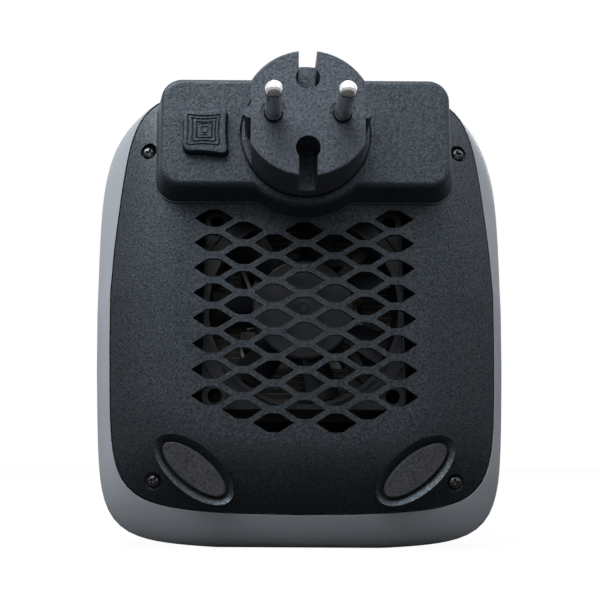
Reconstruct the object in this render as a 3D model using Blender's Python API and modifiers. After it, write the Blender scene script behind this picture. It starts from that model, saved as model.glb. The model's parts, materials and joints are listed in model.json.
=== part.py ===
"""Plug-in fan heater with a swivelling mains plug, built piece by piece at its real size.

It stands on its flat bottom with +Z up. The warm air leaves at the front, along -Y, and the plug
points along +Y. The origin is the middle of the bottom. All lengths are in metres.
"""

from math import asin, atan2, copysign, cos, pi, radians, sin, sqrt, tau

import bmesh
import bpy
from mathutils import Matrix, Vector

# Whole heater
BODY_HALF_WIDTH = 0.0636
BODY_HEIGHT = 0.1405
BODY_DEPTH = 0.056
BODY_CORNER_POWER_HIGH = 5.2
BODY_CORNER_POWER_LOW = 6.2
BODY_TAPER_HIGH_SHARE = 0.019
BODY_TAPER_LOW_SHARE = 0.059
BOTTOM_PLANED_OFF = 0.0006
OUTLINE_POINTS = 44

# Fits
FIT_GAP = 0.0003
CUT_OVERRUN = 0.0010
JOIN_OVERLAP = 0.0008
ROUND_STEPS = 24
SMALL_ROUND_STEPS = 10
SCREW_STEPS = 8
PLUG_STEPS = 36

# How far the switch box, the plug and its pins stand out behind the crown of the back cover
BOX_STAND = 0.0107
PLUG_STAND = 0.0187
PIN_LENGTH = 0.019

# Heights that the other pieces keep to
PLUG_BELOW_TOP = 0.0223
PLUG_Z = BODY_HEIGHT - PLUG_BELOW_TOP
FAN_BELOW_PLUG = 0.0485
FAN_Z = PLUG_Z - FAN_BELOW_PLUG

# Front housing
HOUSING_WALL = 0.0022
FRONT_EDGE_RADIUS = 0.008
FRONT_NARROWING = 0.0015
FLARE_DEPTH = 0.0112
FLARE_STEPS = 4
EDGE_STEPS = 2
POST_RADIUS = 0.0028
POST_HOLE_DEPTH = 0.009

# Back cover
COVER_HALF_WIDTH = 0.0572
COVER_LOW = 0.0106
COVER_BELOW_TOP = 0.0031
COVER_HIGH = BODY_HEIGHT - COVER_BELOW_TOP
COVER_CORNER_POWER_HIGH = 6.6
COVER_CORNER_POWER_LOW = 6.5
COVER_TAPER_HIGH_SHARE = 0.078
COVER_TAPER_LOW_SHARE = 0.043
COVER_WALL = 0.002
COVER_DROP = 0.007
COVER_DOME_WIDTH = 0.022
COVER_DOME_POWER = 2.2
COVER_DOME_STEPS = 4
COVER_SKIRT = 0.0012
COVER_SEAM = 0.0005
COVER_SEAM_STEP = 0.0003
COVER_SEAT_STEP = 0.0001
COVER_SEAT_DEPTH = 0.003

# Air holes in the back cover
HOLE_WIDTH = 0.01145
HOLE_HEIGHT = 0.0054
HOLE_FLAT = 0.0033
HOLE_PITCH_X = 0.0179
HOLE_PITCH_Z = 0.00749
HOLE_TOP_ABOVE_FAN = 0.02575
HOLE_TOP_Z = FAN_Z + HOLE_TOP_ABOVE_FAN
HOLE_LONG_COLUMN = 9
HOLE_COLUMNS = 7

# Case screws and the wells that they sit in
CASE_SCREW_HIGH_X = 0.0475
CASE_SCREW_BELOW_PLUG = 0.0009
CASE_SCREW_HIGH_Z = PLUG_Z - CASE_SCREW_BELOW_PLUG
CASE_SCREW_LOW_X = 0.0432
CASE_SCREW_LOW_Z = 0.0191
WELL_RADIUS = 0.0026
WELL_WALL = 0.0014
WELL_FLOOR_DROP = 0.0065
WELL_FLOOR_WALL = 0.0016
SCREW_HEAD_RADIUS = 0.0022
SCREW_HEAD_HEIGHT = 0.0015
SCREW_SHANK_RADIUS = 0.0011
SCREW_GRIP = 0.006
CROSS_LENGTH = 0.0028
CROSS_WIDTH = 0.0006
CROSS_DEPTH = 0.0007
CROSS_TURN = radians(20.0)

# Oval pads and their seats
PAD_X = 0.03135
PAD_Z = 0.0225
PAD_TILT = radians(38.0)
PAD_HALF_LENGTH = 0.011
PAD_HALF_WIDTH = 0.0042
PAD_SEAT_HALF_LENGTH = 0.01345
PAD_SEAT_HALF_WIDTH = 0.00655
PAD_SEAT_DROP = 0.0012
PAD_SEAT_HEIGHT = 0.0065
PAD_POCKET_DEPTH = 0.0008
PAD_THICKNESS = 0.0013
PAD_EDGE = 0.0004
PAD_STEPS = 20

# Switch box
BOX_HALF_WIDTH = 0.0424
BOX_RISE = 0.0172
BOX_FALL = 0.0157
BOX_CORNER = 0.006
BOX_COLLAR_RADIUS = 0.0216
BOX_COLLAR_FILLET = 0.003
BOX_EDGE = 0.0022
BOX_SIDE_DRAFT = 0.0021
BOX_TOP_DRAFT = 0.001
BOX_BOTTOM_DRAFT = 0.0022
BOX_COLLAR_DRAFT = 0.0012
BOX_WALL = 0.002
BOX_SKIRT = 0.012
BOX_COLLAR_WALL = 0.0012
BOX_BOSS_RADIUS = 0.0026
BOX_SCREW_X = 0.0365
BOX_SCREW_RISE = 0.0092
BOX_SCREW_FALL = 0.0108
BOX_SCREW_SEAT_DROP = 0.0055

# Plug
PLUG_RADIUS = 0.0186
PLUG_DRAFT = 0.00036
PLUG_RING_GAP = 0.0007
PLUG_FACE_EDGE = 0.0008
PLUG_FLAT = 0.0157
PLUG_FLAT_DEPTH = 0.0172
PLUG_RIB_HALF_WIDTH = 0.00165
PLUG_RIB_REACH = 0.0176
PLUG_RIB_CHAMFER = 0.0009
PLUG_FLANGE_THICKNESS = 0.002
KEYHOLE_RADIUS = 0.0034
KEYHOLE_OFFSET = 0.0101
KEYHOLE_SLOT_WIDTH = 0.0051
KEYHOLE_DEPTH = 0.0137
PIN_RADIUS = 0.0024
PIN_SPACING = 0.019
PIN_RECESS_RADIUS = 0.00365
PIN_RECESS_DEPTH = 0.0006
PIN_TIP_STEPS = 4
PIN_STEPS = 16
SWIVEL_LIMIT = radians(90.0)
STOP_PEG_RADIUS = 0.001
STOP_PEG_OFFSET = 0.014
STOP_PEG_LENGTH = 0.004
STOP_SLOT_STEPS = 16

# Contacts behind the plug
CONTACT_GAP = 0.003
CARRIER_FLOOR = 0.002
CARRIER_RIM = 0.0028
CARRIER_SEAT_RADIUS = 0.0186
CARRIER_SEAT_WALL = 0.002
RING_WIDTH = 0.0018
OUTER_RING_RADIUS = 0.0063
OUTER_RING_THICKNESS = 0.0008
INNER_RING_RADIUS = 0.0027
INNER_RING_THICKNESS = 0.0016
LEAF_THICKNESS = 0.0005
LEAF_WIDTH = 0.003
CONTACT_BUTTON_RADIUS = 0.0007
TAIL_RADIUS = 0.0006
TAIL_LENGTH = 0.001
TAIL_STEPS = 8
RING_STEPS = 20
OUTER_TAIL_ANGLE = radians(-50.0)
INNER_TAIL_ANGLE = radians(-130.0)
LEAD_OPENING_RADIUS = 0.0125

# Power button and its switch
BUTTON_X = 0.0292
BUTTON_HALF_WIDTH = 0.0065
BUTTON_HALF_HEIGHT = 0.00675
BUTTON_BOW = 0.0007
BUTTON_CORNER = 0.0016
BUTTON_SIDE_STEPS = 4
BUTTON_CORNER_STEPS = 3
BUTTON_STAND = 0.003
BUTTON_CLEARANCE = 0.00035
BUTTON_FLANGE = 0.0008
BUTTON_FLANGE_THICKNESS = 0.001
BUTTON_STEP = 0.0003
BUTTON_STEP_INSETS = (0.0013, 0.0028)
BUTTON_STEM_RADIUS = 0.0017
BUTTON_STEM_LENGTH = 0.004
BUTTON_TRAVEL = 0.002
SWITCH_HALF_WIDTH = 0.0055
SWITCH_THROAT_DEPTH = 0.0045
SWITCH_TERMINAL_RADIUS = 0.0007
SWITCH_TERMINAL_SPACING = 0.005
SWITCH_TERMINAL_LENGTH = 0.0035
SWITCH_OPENING_HALF = 0.0042

# Fan
FAN_HALF_WIDTH = 0.030
FAN_CORNER = 0.003
FAN_DEPTH = 0.015
FAN_DROP = 0.0079
FAN_FLANGE = 0.0026
FAN_EDGE = 0.0015
FAN_BORE_RADIUS = FAN_HALF_WIDTH - FAN_EDGE
FAN_TUBE_WALL = 0.0013
FAN_HOLE_RADIUS = 0.00215
FAN_RING_WALL = 0.00135
FAN_HOLE_INSET = 0.0038
FAN_HOLE_OFFSET = FAN_HALF_WIDTH - FAN_HOLE_INSET
HUB_SHARE = 0.517
HUB_RADIUS = FAN_HALF_WIDTH * HUB_SHARE
FAN_MOUNT_INSET = 0.0007
FAN_MOUNT_RADIUS = HUB_RADIUS - FAN_MOUNT_INSET
FAN_MOUNT_THICKNESS = 0.0015
FAN_STRUT_WIDTH = 0.003
FAN_STRUTS = 4
FAN_MOUNT_TUBE_RADIUS = 0.0032
FAN_MOUNT_TUBE_WALL = 0.0009
FAN_MOUNT_TUBE_LENGTH = 0.0085
HUB_WALL = 0.0012
HUB_SETBACK = 0.0008
HUB_SKIRT_CLEARANCE = 0.0012
HUB_EDGE = 0.001
BLADES = 7
BLADE_TIP_GAP = 0.0009
BLADE_THICKNESS = 0.001
BLADE_CHORD = 0.0125
BLADE_PITCH_ROOT = radians(52.0)
BLADE_PITCH_TIP = radians(32.0)
BLADE_STEPS = 2
MAGNET_WALL = 0.0014
STATOR_INSET = 0.0043
STATOR_RADIUS = HUB_RADIUS - STATOR_INSET
STATOR_POLES = 4
STATOR_SLOT_WIDTH = 0.002
STATOR_DEPTH = 0.0055
SHAFT_RADIUS = 0.001
BEARING_LENGTH = 0.0065

# Heater frame: an air tube on a flange that carries the fan
TUBE_RADIUS = FAN_BORE_RADIUS + FAN_EDGE / 3
TUBE_WALL = 0.0015
FLANGE_THICKNESS = 0.002
OUTLET_SPACE = 0.0127
TUBE_DEPTH = BODY_DEPTH - FAN_DROP - FAN_DEPTH - FIT_GAP - FLANGE_THICKNESS - OUTLET_SPACE
FLANGE_MARGIN = 0.003
FLANGE_HALF_SIDE = FAN_HALF_WIDTH + FLANGE_MARGIN
FLANGE_EAR_HALF_HEIGHT = 0.006
FLANGE_EAR_MARGIN = 0.0038
FAN_SCREW_LENGTH = 0.007

# Heating element
ELEMENT_WIDTH_SHARE = 0.707
ELEMENT_HALF_WIDTH = TUBE_RADIUS * ELEMENT_WIDTH_SHARE
ELEMENT_HEIGHT_SHARE = 0.61
ELEMENT_HALF_HEIGHT = TUBE_RADIUS * ELEMENT_HEIGHT_SHARE
ELEMENT_DEPTH_SHARE = 0.66
ELEMENT_DEPTH = TUBE_DEPTH * ELEMENT_DEPTH_SHARE
ELEMENT_BARS = 2
ELEMENT_ROWS = ELEMENT_BARS + 1
BAR_HEIGHT = 0.0036
BARS_AND_GAPS = ELEMENT_BARS * (BAR_HEIGHT + 2 * FIT_GAP)
FIN_ROW_HEIGHT = (2 * ELEMENT_HALF_HEIGHT - BARS_AND_GAPS) / ELEMENT_ROWS
FIN_FOLDS = 11
FIN_THICKNESS = 0.0005
CARRIER_THICKNESS = 0.0012
CARRIER_LIP = 0.0012
TAB_WIDTH = 0.003
TAB_LENGTH = 0.0045
TAB_THICKNESS = 0.0006
CUTOUT_RADIUS = 0.003
CUTOUT_THICKNESS = 0.002
FUSE_RADIUS = 0.0015
FUSE_LENGTH = 0.011

# Front: outlet grille, window and small buttons
GRILLE_HALF_WIDTH = 0.037
GRILLE_HALF_HEIGHT = 0.0335
GRILLE_CORNER = 0.010
GRILLE_BORDER = 0.0025
GRILLE_DEPTH = 0.0045
GRILLE_LIP = 0.002
GRILLE_LIP_THICKNESS = 0.0012
FRAME_POST_CLEARANCE = 0.0005
FRAME_POST_X = GRILLE_HALF_WIDTH + GRILLE_LIP + POST_RADIUS + FRAME_POST_CLEARANCE
FLANGE_EAR_REACH = FRAME_POST_X + FLANGE_EAR_MARGIN
SLATS = 8
SLAT_THICKNESS = 0.0015
SLAT_TILT = radians(18.0)
GRILLE_RIBS = 3
GRILLE_RIB_WIDTH = 0.0018
GRILLE_RIB_DEPTH = 0.0022
WINDOW_ABOVE_PLUG = 0.005
WINDOW_Z = PLUG_Z + WINDOW_ABOVE_PLUG
WINDOW_HALF_WIDTH = 0.020
WINDOW_HALF_HEIGHT = 0.005
WINDOW_CORNER = 0.0025
WINDOW_LIP = 0.0014
WINDOW_LIP_THICKNESS = 0.001
WINDOW_RECESS = 0.0003
FRONT_BUTTON_BELOW_PLUG = 0.0067
FRONT_BUTTON_Z = PLUG_Z - FRONT_BUTTON_BELOW_PLUG
FRONT_BUTTON_SPACING = 0.014
FRONT_BUTTON_RADIUS = 0.0033
FRONT_BUTTON_LIP = 0.0009
FRONT_BUTTON_LIP_THICKNESS = 0.0008
FRONT_BUTTON_RECESS = 0.0002
FRONT_BUTTON_EDGE = 0.0004
FRONT_BUTTON_CLEARANCE = 0.0005
FRONT_BUTTON_TRAVEL = 0.0005
FRONT_BUTTON_STEM = 0.0012
FRONT_BUTTON_NAMES = ("button_lower", "button_mode", "button_raise")

# Display board
DISPLAY_BOARD_HALF_WIDTH = 0.027
DISPLAY_BOARD_HALF_HEIGHT = 0.01175
DISPLAY_BOARD_ABOVE_PLUG = 0.0008
DISPLAY_BOARD_Z = PLUG_Z + DISPLAY_BOARD_ABOVE_PLUG
DISPLAY_BOARD_THICKNESS = 0.0012
DISPLAY_BOARD_SETBACK = 0.0055
DISPLAY_POST_X = 0.0245
PEG_RADIUS = 0.001
PEG_STAND = 0.001
BOARD_POST_RADIUS = 0.0018
DIGIT_HALF_WIDTH = 0.013
DIGIT_HALF_HEIGHT = 0.0045
TACT_HALF_WIDTH = 0.0025
TACT_HEIGHT = 0.0014

# Power board and what stands on it
POWER_BOARD_HALF_WIDTH = 0.039
POWER_BOARD_HALF_HEIGHT = 0.013
POWER_BOARD_ABOVE_PLUG = 0.003
POWER_BOARD_Z = PLUG_Z + POWER_BOARD_ABOVE_PLUG
POWER_BOARD_LOW = POWER_BOARD_Z - POWER_BOARD_HALF_HEIGHT
POWER_BOARD_THICKNESS = 0.0014
POWER_BOARD_SETBACK = 0.0235
POWER_POST_X = 0.0355
BOARD_SCREW_HEAD_RADIUS = 0.0017
BOARD_SCREW_HEAD_HEIGHT = 0.0009
BOARD_SCREW_RADIUS = 0.0008
BOARD_SCREW_GRIP = 0.003
RELAY_SIZE = (0.0155, 0.0095, 0.0125)
RELAY_X = -0.021
RELAY_BELOW_BOARD = 0.002
RELAY_Z = POWER_BOARD_Z - RELAY_BELOW_BOARD
TERMINAL_SIZE = (0.020, 0.009, 0.008)
TERMINAL_X = 0.019
TERMINAL_BELOW_BOARD = 0.006
TERMINAL_Z = POWER_BOARD_Z - TERMINAL_BELOW_BOARD
CAPACITOR_RADIUS = 0.004
CAPACITOR_LENGTH = 0.010
CAPACITOR_X = 0.0225
CAPACITOR_ABOVE_BOARD = 0.007
CAPACITOR_Z = POWER_BOARD_Z + CAPACITOR_ABOVE_BOARD
LINK_HALF_WIDTH = 0.007
LINK_THICKNESS = 0.002
LINK_ABOVE_BOARD = 0.008
LINK_Z = POWER_BOARD_Z + LINK_ABOVE_BOARD

# Inner leads
LEAD_RADIUS = 0.0008
FAN_LEAD_RADIUS = 0.0011
FAN_LEAD_X = 0.004
LEAD_POINT_STEPS = 3
LEAD_SLACK = 0.002
LEADS_BEHIND_COVER = 0.008

# Places that follow from the sizes above
TOTAL_DEPTH = BODY_DEPTH + BOX_STAND + PLUG_STAND + PIN_LENGTH
FRONT_Y = -TOTAL_DEPTH / 2
CROWN_Y = FRONT_Y + BODY_DEPTH
BOX_FACE_Y = CROWN_Y + BOX_STAND
PLUG_FACE_Y = BOX_FACE_Y + PLUG_STAND
PIN_TIP_Y = PLUG_FACE_Y + PIN_LENGTH
COVER_EDGE_Y = CROWN_Y - COVER_DROP
SEAM_Y = COVER_EDGE_Y - COVER_SEAM_STEP
FRONT_WALL_Y = FRONT_Y + HOUSING_WALL
BOX_CEILING_Y = BOX_FACE_Y - BOX_WALL
BOX_SEAT_RADIUS = BOX_COLLAR_RADIUS - BOX_COLLAR_WALL
PLUG_OPENING_RADIUS = PLUG_RADIUS + PLUG_RING_GAP
FLANGE_TOP_Y = BOX_CEILING_Y - FIT_GAP
PLUG_BACK_Y = FLANGE_TOP_Y - PLUG_FLANGE_THICKNESS
PLUG_BASE_Y = PLUG_FACE_Y - PLUG_FLAT_DEPTH
CONTACT_FLOOR_Y = PLUG_BACK_Y - CONTACT_GAP
CARRIER_BACK_Y = CONTACT_FLOOR_Y - CARRIER_FLOOR
RING_SEAT_Y = CONTACT_FLOOR_Y + FIT_GAP
OUTER_RING_TOP_Y = RING_SEAT_Y + OUTER_RING_THICKNESS
LEAF_TOP_Y = PLUG_BACK_Y - FIT_GAP
LEAF_UNDER_Y = LEAF_TOP_Y - LEAF_THICKNESS
WELL_FLOOR_Y = CROWN_Y - WELL_FLOOR_DROP
CASE_POST_TOP_Y = WELL_FLOOR_Y - WELL_FLOOR_WALL - FIT_GAP
BUTTON_TOP_Y = BOX_FACE_Y + BUTTON_STAND
BUTTON_FLANGE_BACK_Y = BOX_CEILING_Y - FIT_GAP - BUTTON_FLANGE_THICKNESS
SWITCH_TOP_Y = BUTTON_FLANGE_BACK_Y - BUTTON_TRAVEL - FIT_GAP
SWITCH_BACK_Y = CROWN_Y + FIT_GAP
FAN_BACK_Y = CROWN_Y - FAN_DROP
FAN_FRONT_Y = FAN_BACK_Y - FAN_DEPTH
MOTOR_SEAT_Y = FAN_FRONT_Y + FAN_MOUNT_THICKNESS + 3 * FIT_GAP / 2
FLANGE_BACK_Y = FAN_FRONT_Y - FIT_GAP
FLANGE_FRONT_Y = FLANGE_BACK_Y - FLANGE_THICKNESS
TUBE_FRONT_Y = FLANGE_FRONT_Y - TUBE_DEPTH
ELEMENT_BACK_Y = FLANGE_FRONT_Y - CARRIER_THICKNESS - FIT_GAP
ELEMENT_FRONT_Y = ELEMENT_BACK_Y - ELEMENT_DEPTH
DISPLAY_BOARD_FRONT_Y = FRONT_WALL_Y + DISPLAY_BOARD_SETBACK
DISPLAY_BOARD_BACK_Y = DISPLAY_BOARD_FRONT_Y + DISPLAY_BOARD_THICKNESS
POWER_BOARD_FRONT_Y = FRONT_WALL_Y + POWER_BOARD_SETBACK - POWER_BOARD_THICKNESS
POWER_BOARD_BACK_Y = FRONT_WALL_Y + POWER_BOARD_SETBACK

# Colours: red, green, blue
GREY_SHELL = (0.30, 0.32, 0.34)
MATTE_BLACK = (0.012, 0.013, 0.014)
SOFT_BLACK = (0.018, 0.019, 0.021)
RUBBER_BLACK = (0.025, 0.026, 0.028)
GLOSSY_BLACK = (0.006, 0.006, 0.007)
NICKEL = (0.72, 0.71, 0.68)
STEEL = (0.55, 0.56, 0.58)
BRASS = (0.72, 0.50, 0.20)
COPPER = (0.70, 0.33, 0.17)
ALUMINIUM = (0.74, 0.75, 0.77)
BOARD_GREEN = (0.02, 0.13, 0.06)
RELAY_BLUE = (0.03, 0.10, 0.35)
MICA = (0.55, 0.47, 0.33)
CERAMIC = (0.80, 0.78, 0.72)
LEAD_RED = (0.42, 0.02, 0.02)
LEAD_BROWN = (0.16, 0.07, 0.03)
LEAD_BLUE = (0.03, 0.08, 0.30)


def remove_everything():
    for old in list(bpy.data.objects):
        bpy.data.objects.remove(old)


def new_collection(name):
    collection = bpy.data.collections.new(name)
    bpy.context.scene.collection.children.link(collection)
    return collection


def new_material(name, colour, roughness, metallic=0.0):
    material = bpy.data.materials.new(name)
    material.use_nodes = True
    shader = material.node_tree.nodes["Principled BSDF"]
    shader.inputs["Base Color"].default_value = (*colour, 1.0)
    shader.inputs["Roughness"].default_value = roughness
    shader.inputs["Metallic"].default_value = metallic
    material.diffuse_color = (*colour, 1.0)
    return material


# Meshes


def tidied(mesh):
    """Welds what lies together and points all faces out."""
    bm = bmesh.new()
    bm.from_mesh(mesh)
    bmesh.ops.remove_doubles(bm, verts=bm.verts, dist=1e-7)
    bmesh.ops.recalc_face_normals(bm, faces=bm.faces)
    bm.to_mesh(mesh)
    bm.free()
    return mesh


def baked(obj):
    """The evaluated mesh of a helper object in world space. The helper is removed."""
    bpy.context.view_layer.update()
    graph = bpy.context.evaluated_depsgraph_get()
    mesh = bpy.data.meshes.new_from_object(obj.evaluated_get(graph))
    mesh.transform(obj.matrix_world)
    data = obj.data
    bpy.data.objects.remove(obj)
    if isinstance(data, bpy.types.Curve):
        bpy.data.curves.remove(data)
    return tidied(mesh)


def helper(name, data):
    obj = bpy.data.objects.new(name, data)
    bpy.context.scene.collection.objects.link(obj)
    return obj


def plate(outlines, back_y, front_y):
    """A flat piece in the XZ plane. Outlines inside the first one are holes."""
    curve = bpy.data.curves.new("plate", "CURVE")
    curve.dimensions = "2D"
    curve.fill_mode = "BOTH"
    curve.extrude = abs(back_y - front_y) / 2
    for outline in outlines:
        spline = curve.splines.new("POLY")
        spline.points.add(len(outline) - 1)
        for point, (x, z) in zip(spline.points, outline):
            point.co = (x, z, 0, 1)
        spline.use_cyclic_u = True
    obj = helper("plate", curve)
    obj.rotation_euler = (pi / 2, 0, 0)
    obj.location.y = (back_y + front_y) / 2
    return baked(obj)


def turned(profile, x, z, steps=ROUND_STEPS, closed=False):
    """A round piece about an axis along Y. The profile holds (radius, y) down its outer side."""
    mesh = bpy.data.meshes.new("turned")
    last = len(profile)
    edges = [(i, i + 1) for i in range(last - 1)]
    if closed:
        edges.append((last - 1, 0))
    mesh.from_pydata([(radius, 0, y) for radius, y in profile], edges, [])
    obj = helper("turned", mesh)
    screw = obj.modifiers.new("turn", "SCREW")
    screw.axis = "Z"
    screw.angle = tau
    screw.steps = steps
    screw.render_steps = steps
    screw.use_merge_vertices = True
    screw.merge_threshold = 1e-6
    obj.rotation_euler = (-pi / 2, 0, 0)
    obj.location = (x, 0, z)
    return baked(obj)


def cylinder(radius, back_y, front_y, x, z, steps=SMALL_ROUND_STEPS):
    bm = bmesh.new()
    bmesh.ops.create_cone(
        bm,
        cap_ends=True,
        segments=steps,
        radius1=radius,
        radius2=radius,
        depth=back_y - front_y,
        matrix=Matrix.Translation((x, (back_y + front_y) / 2, z)) @ Matrix.Rotation(pi / 2, 4, "X"),
    )
    mesh = bpy.data.meshes.new("cylinder")
    bm.to_mesh(mesh)
    bm.free()
    return mesh


def tube(outer, inner, back_y, front_y, x, z, steps=ROUND_STEPS):
    profile = [(outer, back_y), (outer, front_y), (inner, front_y), (inner, back_y)]
    return turned(profile, x, z, steps, closed=True)


def block(low, high):
    """A box between two opposite corners."""
    bm = bmesh.new()
    bmesh.ops.create_cube(bm, size=1.0)
    low, high = Vector(low), Vector(high)
    bmesh.ops.scale(bm, vec=high - low, verts=bm.verts)
    bmesh.ops.translate(bm, vec=(low + high) / 2, verts=bm.verts)
    mesh = bpy.data.meshes.new("block")
    bm.to_mesh(mesh)
    bm.free()
    return mesh


def block_at(size, x, back_y, z):
    """A box of a given width, height and depth whose back face is at back_y."""
    width, height, depth = size
    low = (x - width / 2, back_y - depth, z - height / 2)
    return block(low, (x + width / 2, back_y, z + height / 2))


def loft(rings, cap_front=True, cap_back=True):
    """Joins outlines of equal length, given as (outline, y) from front to back."""
    bm = bmesh.new()
    loops = [[bm.verts.new((x, y, z)) for x, z in outline] for outline, y in rings]
    count = len(loops[0])
    for front, back in zip(loops, loops[1:]):
        for i in range(count):
            j = (i + 1) % count
            bm.faces.new((front[i], back[i], back[j], front[j]))
    if cap_front:
        bm.faces.new(loops[0])
    if cap_back:
        bm.faces.new(reversed(loops[-1]))
    mesh = bpy.data.meshes.new("loft")
    bm.to_mesh(mesh)
    bm.free()
    return mesh


def joined(meshes):
    """One mesh that holds several separate bodies."""
    bm = bmesh.new()
    for mesh in meshes:
        bm.from_mesh(mesh)
    result = bpy.data.meshes.new("joined")
    bm.to_mesh(result)
    bm.free()
    return result


def moved(mesh, matrix):
    copy = mesh.copy()
    copy.transform(matrix)
    return copy


# Outlines in the XZ plane, anticlockwise from +X


def arc(x, z, radius, start, end, steps):
    """Points on a circle, both ends included."""
    angles = [start + (end - start) * i / steps for i in range(steps + 1)]
    return [(x + radius * cos(a), z + radius * sin(a)) for a in angles]


def circle(radius, x, z, steps=ROUND_STEPS):
    return arc(x, z, radius, 0, tau, steps)[:-1]


def rounded_box(half_width, half_height, corner, x, z, steps=4):
    points = []
    for turn, (side, rise) in enumerate(((1, 1), (-1, 1), (-1, -1), (1, -1))):
        centre_x = x + side * (half_width - corner)
        centre_z = z + rise * (half_height - corner)
        start = turn * pi / 2
        points += arc(centre_x, centre_z, corner, start, start + pi / 2, steps)
    return points


def oval(half_length, half_width, tilt, x, z, steps=ROUND_STEPS):
    points = []
    for along, across in circle(1, 0, 0, steps):
        u, v = half_length * along, half_width * across
        points.append((x + u * cos(tilt) - v * sin(tilt), z + u * sin(tilt) + v * cos(tilt)))
    return points


def bowed_outline(half_width, low, high, powers, tapers):
    """A rounded upright outline with bowed sides. Powers and tapers are for its top and bottom."""
    middle, half_height = (low + high) / 2, (high - low) / 2
    points = []
    for step in range(OUTLINE_POINTS):
        angle = tau * step / OUTLINE_POINTS
        c, s = round(cos(angle), 9), round(sin(angle), 9)
        upper = s >= 0
        power = powers[0] if upper else powers[1]
        taper = tapers[0] if upper else tapers[1]
        rise = copysign(abs(s) ** (2 / power), s)
        reach = copysign(abs(c) ** (2 / power), c)
        points.append((half_width * reach * (1 - taper * abs(rise)), middle + half_height * rise))
    return points


def blended(first, second, share):
    return [
        (a[0] + (b[0] - a[0]) * share, a[1] + (b[1] - a[1]) * share) for a, b in zip(first, second)
    ]


def body_outline(narrowed=0.0, raised=0.0):
    """The grey body's outline, with its bottom planed flat so that it stands."""
    points = bowed_outline(
        BODY_HALF_WIDTH - narrowed,
        raised - BOTTOM_PLANED_OFF,
        BODY_HEIGHT - narrowed,
        (BODY_CORNER_POWER_HIGH, BODY_CORNER_POWER_LOW),
        (BODY_TAPER_HIGH_SHARE, BODY_TAPER_LOW_SHARE),
    )
    return [(x, max(z, raised)) for x, z in points]


def cover_outline(grown=0.0):
    return bowed_outline(
        COVER_HALF_WIDTH + grown,
        COVER_LOW - grown,
        COVER_HIGH + grown,
        (COVER_CORNER_POWER_HIGH, COVER_CORNER_POWER_LOW),
        (COVER_TAPER_HIGH_SHARE, COVER_TAPER_LOW_SHARE),
    )


def dome_rings(grown=0.0):
    """The domed back of the cover, from its edge up to the crown."""
    rings = []
    for step in range(COVER_DOME_STEPS + 1):
        share = step / COVER_DOME_STEPS
        drop = COVER_DROP * (1 - share) ** COVER_DOME_POWER
        inset = COVER_DOME_WIDTH * share
        rings.append((cover_outline(grown - inset), CROWN_Y - drop + grown))
    return rings


def flare_rings(grown=0.0):
    """The grey rim, from the widest section up to its seam with the cover."""
    seam, widest = cover_outline(COVER_SEAM + grown), body_outline(-grown, -grown)
    rings = []
    for step in range(FLARE_STEPS, -1, -1):
        turn = pi / 2 * step / FLARE_STEPS
        y = SEAM_Y - FLARE_DEPTH * (1 - cos(turn)) + grown
        rings.append((blended(seam, widest, sin(turn)), y))
    return rings


def collared_quarter(half_width, rise, corner, collar, fillet):
    """A quarter of the switch box's outline, from its side up to the middle of the collar."""
    points = arc(half_width - corner, rise - corner, corner, 0, pi / 2, EDGE_STEPS + 1)
    reach = collar + fillet
    fillet_z = rise + fillet
    fillet_x = sqrt(reach * reach - fillet_z * fillet_z)
    contact = atan2(fillet_z, fillet_x)
    points += arc(fillet_x, fillet_z, fillet, tau * 3 / 4, pi + contact, EDGE_STEPS)
    points += arc(0, 0, collar, contact, pi / 2, EDGE_STEPS * 2)[1:]
    return points


def box_outline(inset, draft_share):
    """The switch box's outline at its face (draft share 0), wider towards its base (1)."""
    half_width = BOX_HALF_WIDTH - inset + BOX_SIDE_DRAFT * draft_share
    rise = BOX_RISE - inset + BOX_TOP_DRAFT * draft_share
    fall = BOX_FALL - inset + BOX_BOTTOM_DRAFT * draft_share
    corner = BOX_CORNER - inset + BOX_TOP_DRAFT * draft_share
    top_collar = BOX_COLLAR_RADIUS - inset
    low_collar = top_collar + BOX_COLLAR_DRAFT * draft_share
    fillet = BOX_COLLAR_FILLET + inset
    top = collared_quarter(half_width, rise, corner, top_collar, fillet)
    low = collared_quarter(half_width, fall, corner, low_collar, fillet)
    points = list(top)
    points += [(-x, z) for x, z in reversed(top[:-1])]
    points += [(-x, -z) for x, z in low]
    points += [(x, -z) for x, z in reversed(low[:-1])]
    return [(x, z + PLUG_Z) for x, z in points]


def button_outline(grown):
    """A square whose sides are drawn in."""
    half_width, half_height = BUTTON_HALF_WIDTH + grown, BUTTON_HALF_HEIGHT + grown
    corner = max(BUTTON_CORNER + grown, BUTTON_CORNER / 2)
    points = []
    for turn, (side, rise) in enumerate(((1, 1), (-1, 1), (-1, -1), (1, -1))):
        centre_x = side * (half_width - corner)
        centre_z = rise * (half_height - corner)
        start = turn * pi / 2
        points += arc(centre_x, centre_z, corner, start, start + pi / 2, BUTTON_CORNER_STEPS)
        upright = side == rise
        for step in range(1, BUTTON_SIDE_STEPS):
            share = 1 - 2 * step / BUTTON_SIDE_STEPS
            drawn_in = BUTTON_BOW * (1 - share * share)
            if upright:
                points.append((share * centre_x, rise * (half_height - drawn_in)))
            else:
                points.append((side * (half_width - drawn_in), share * centre_z))
    return [(x + BUTTON_X, z + PLUG_Z) for x, z in points]


# Pieces


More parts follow.
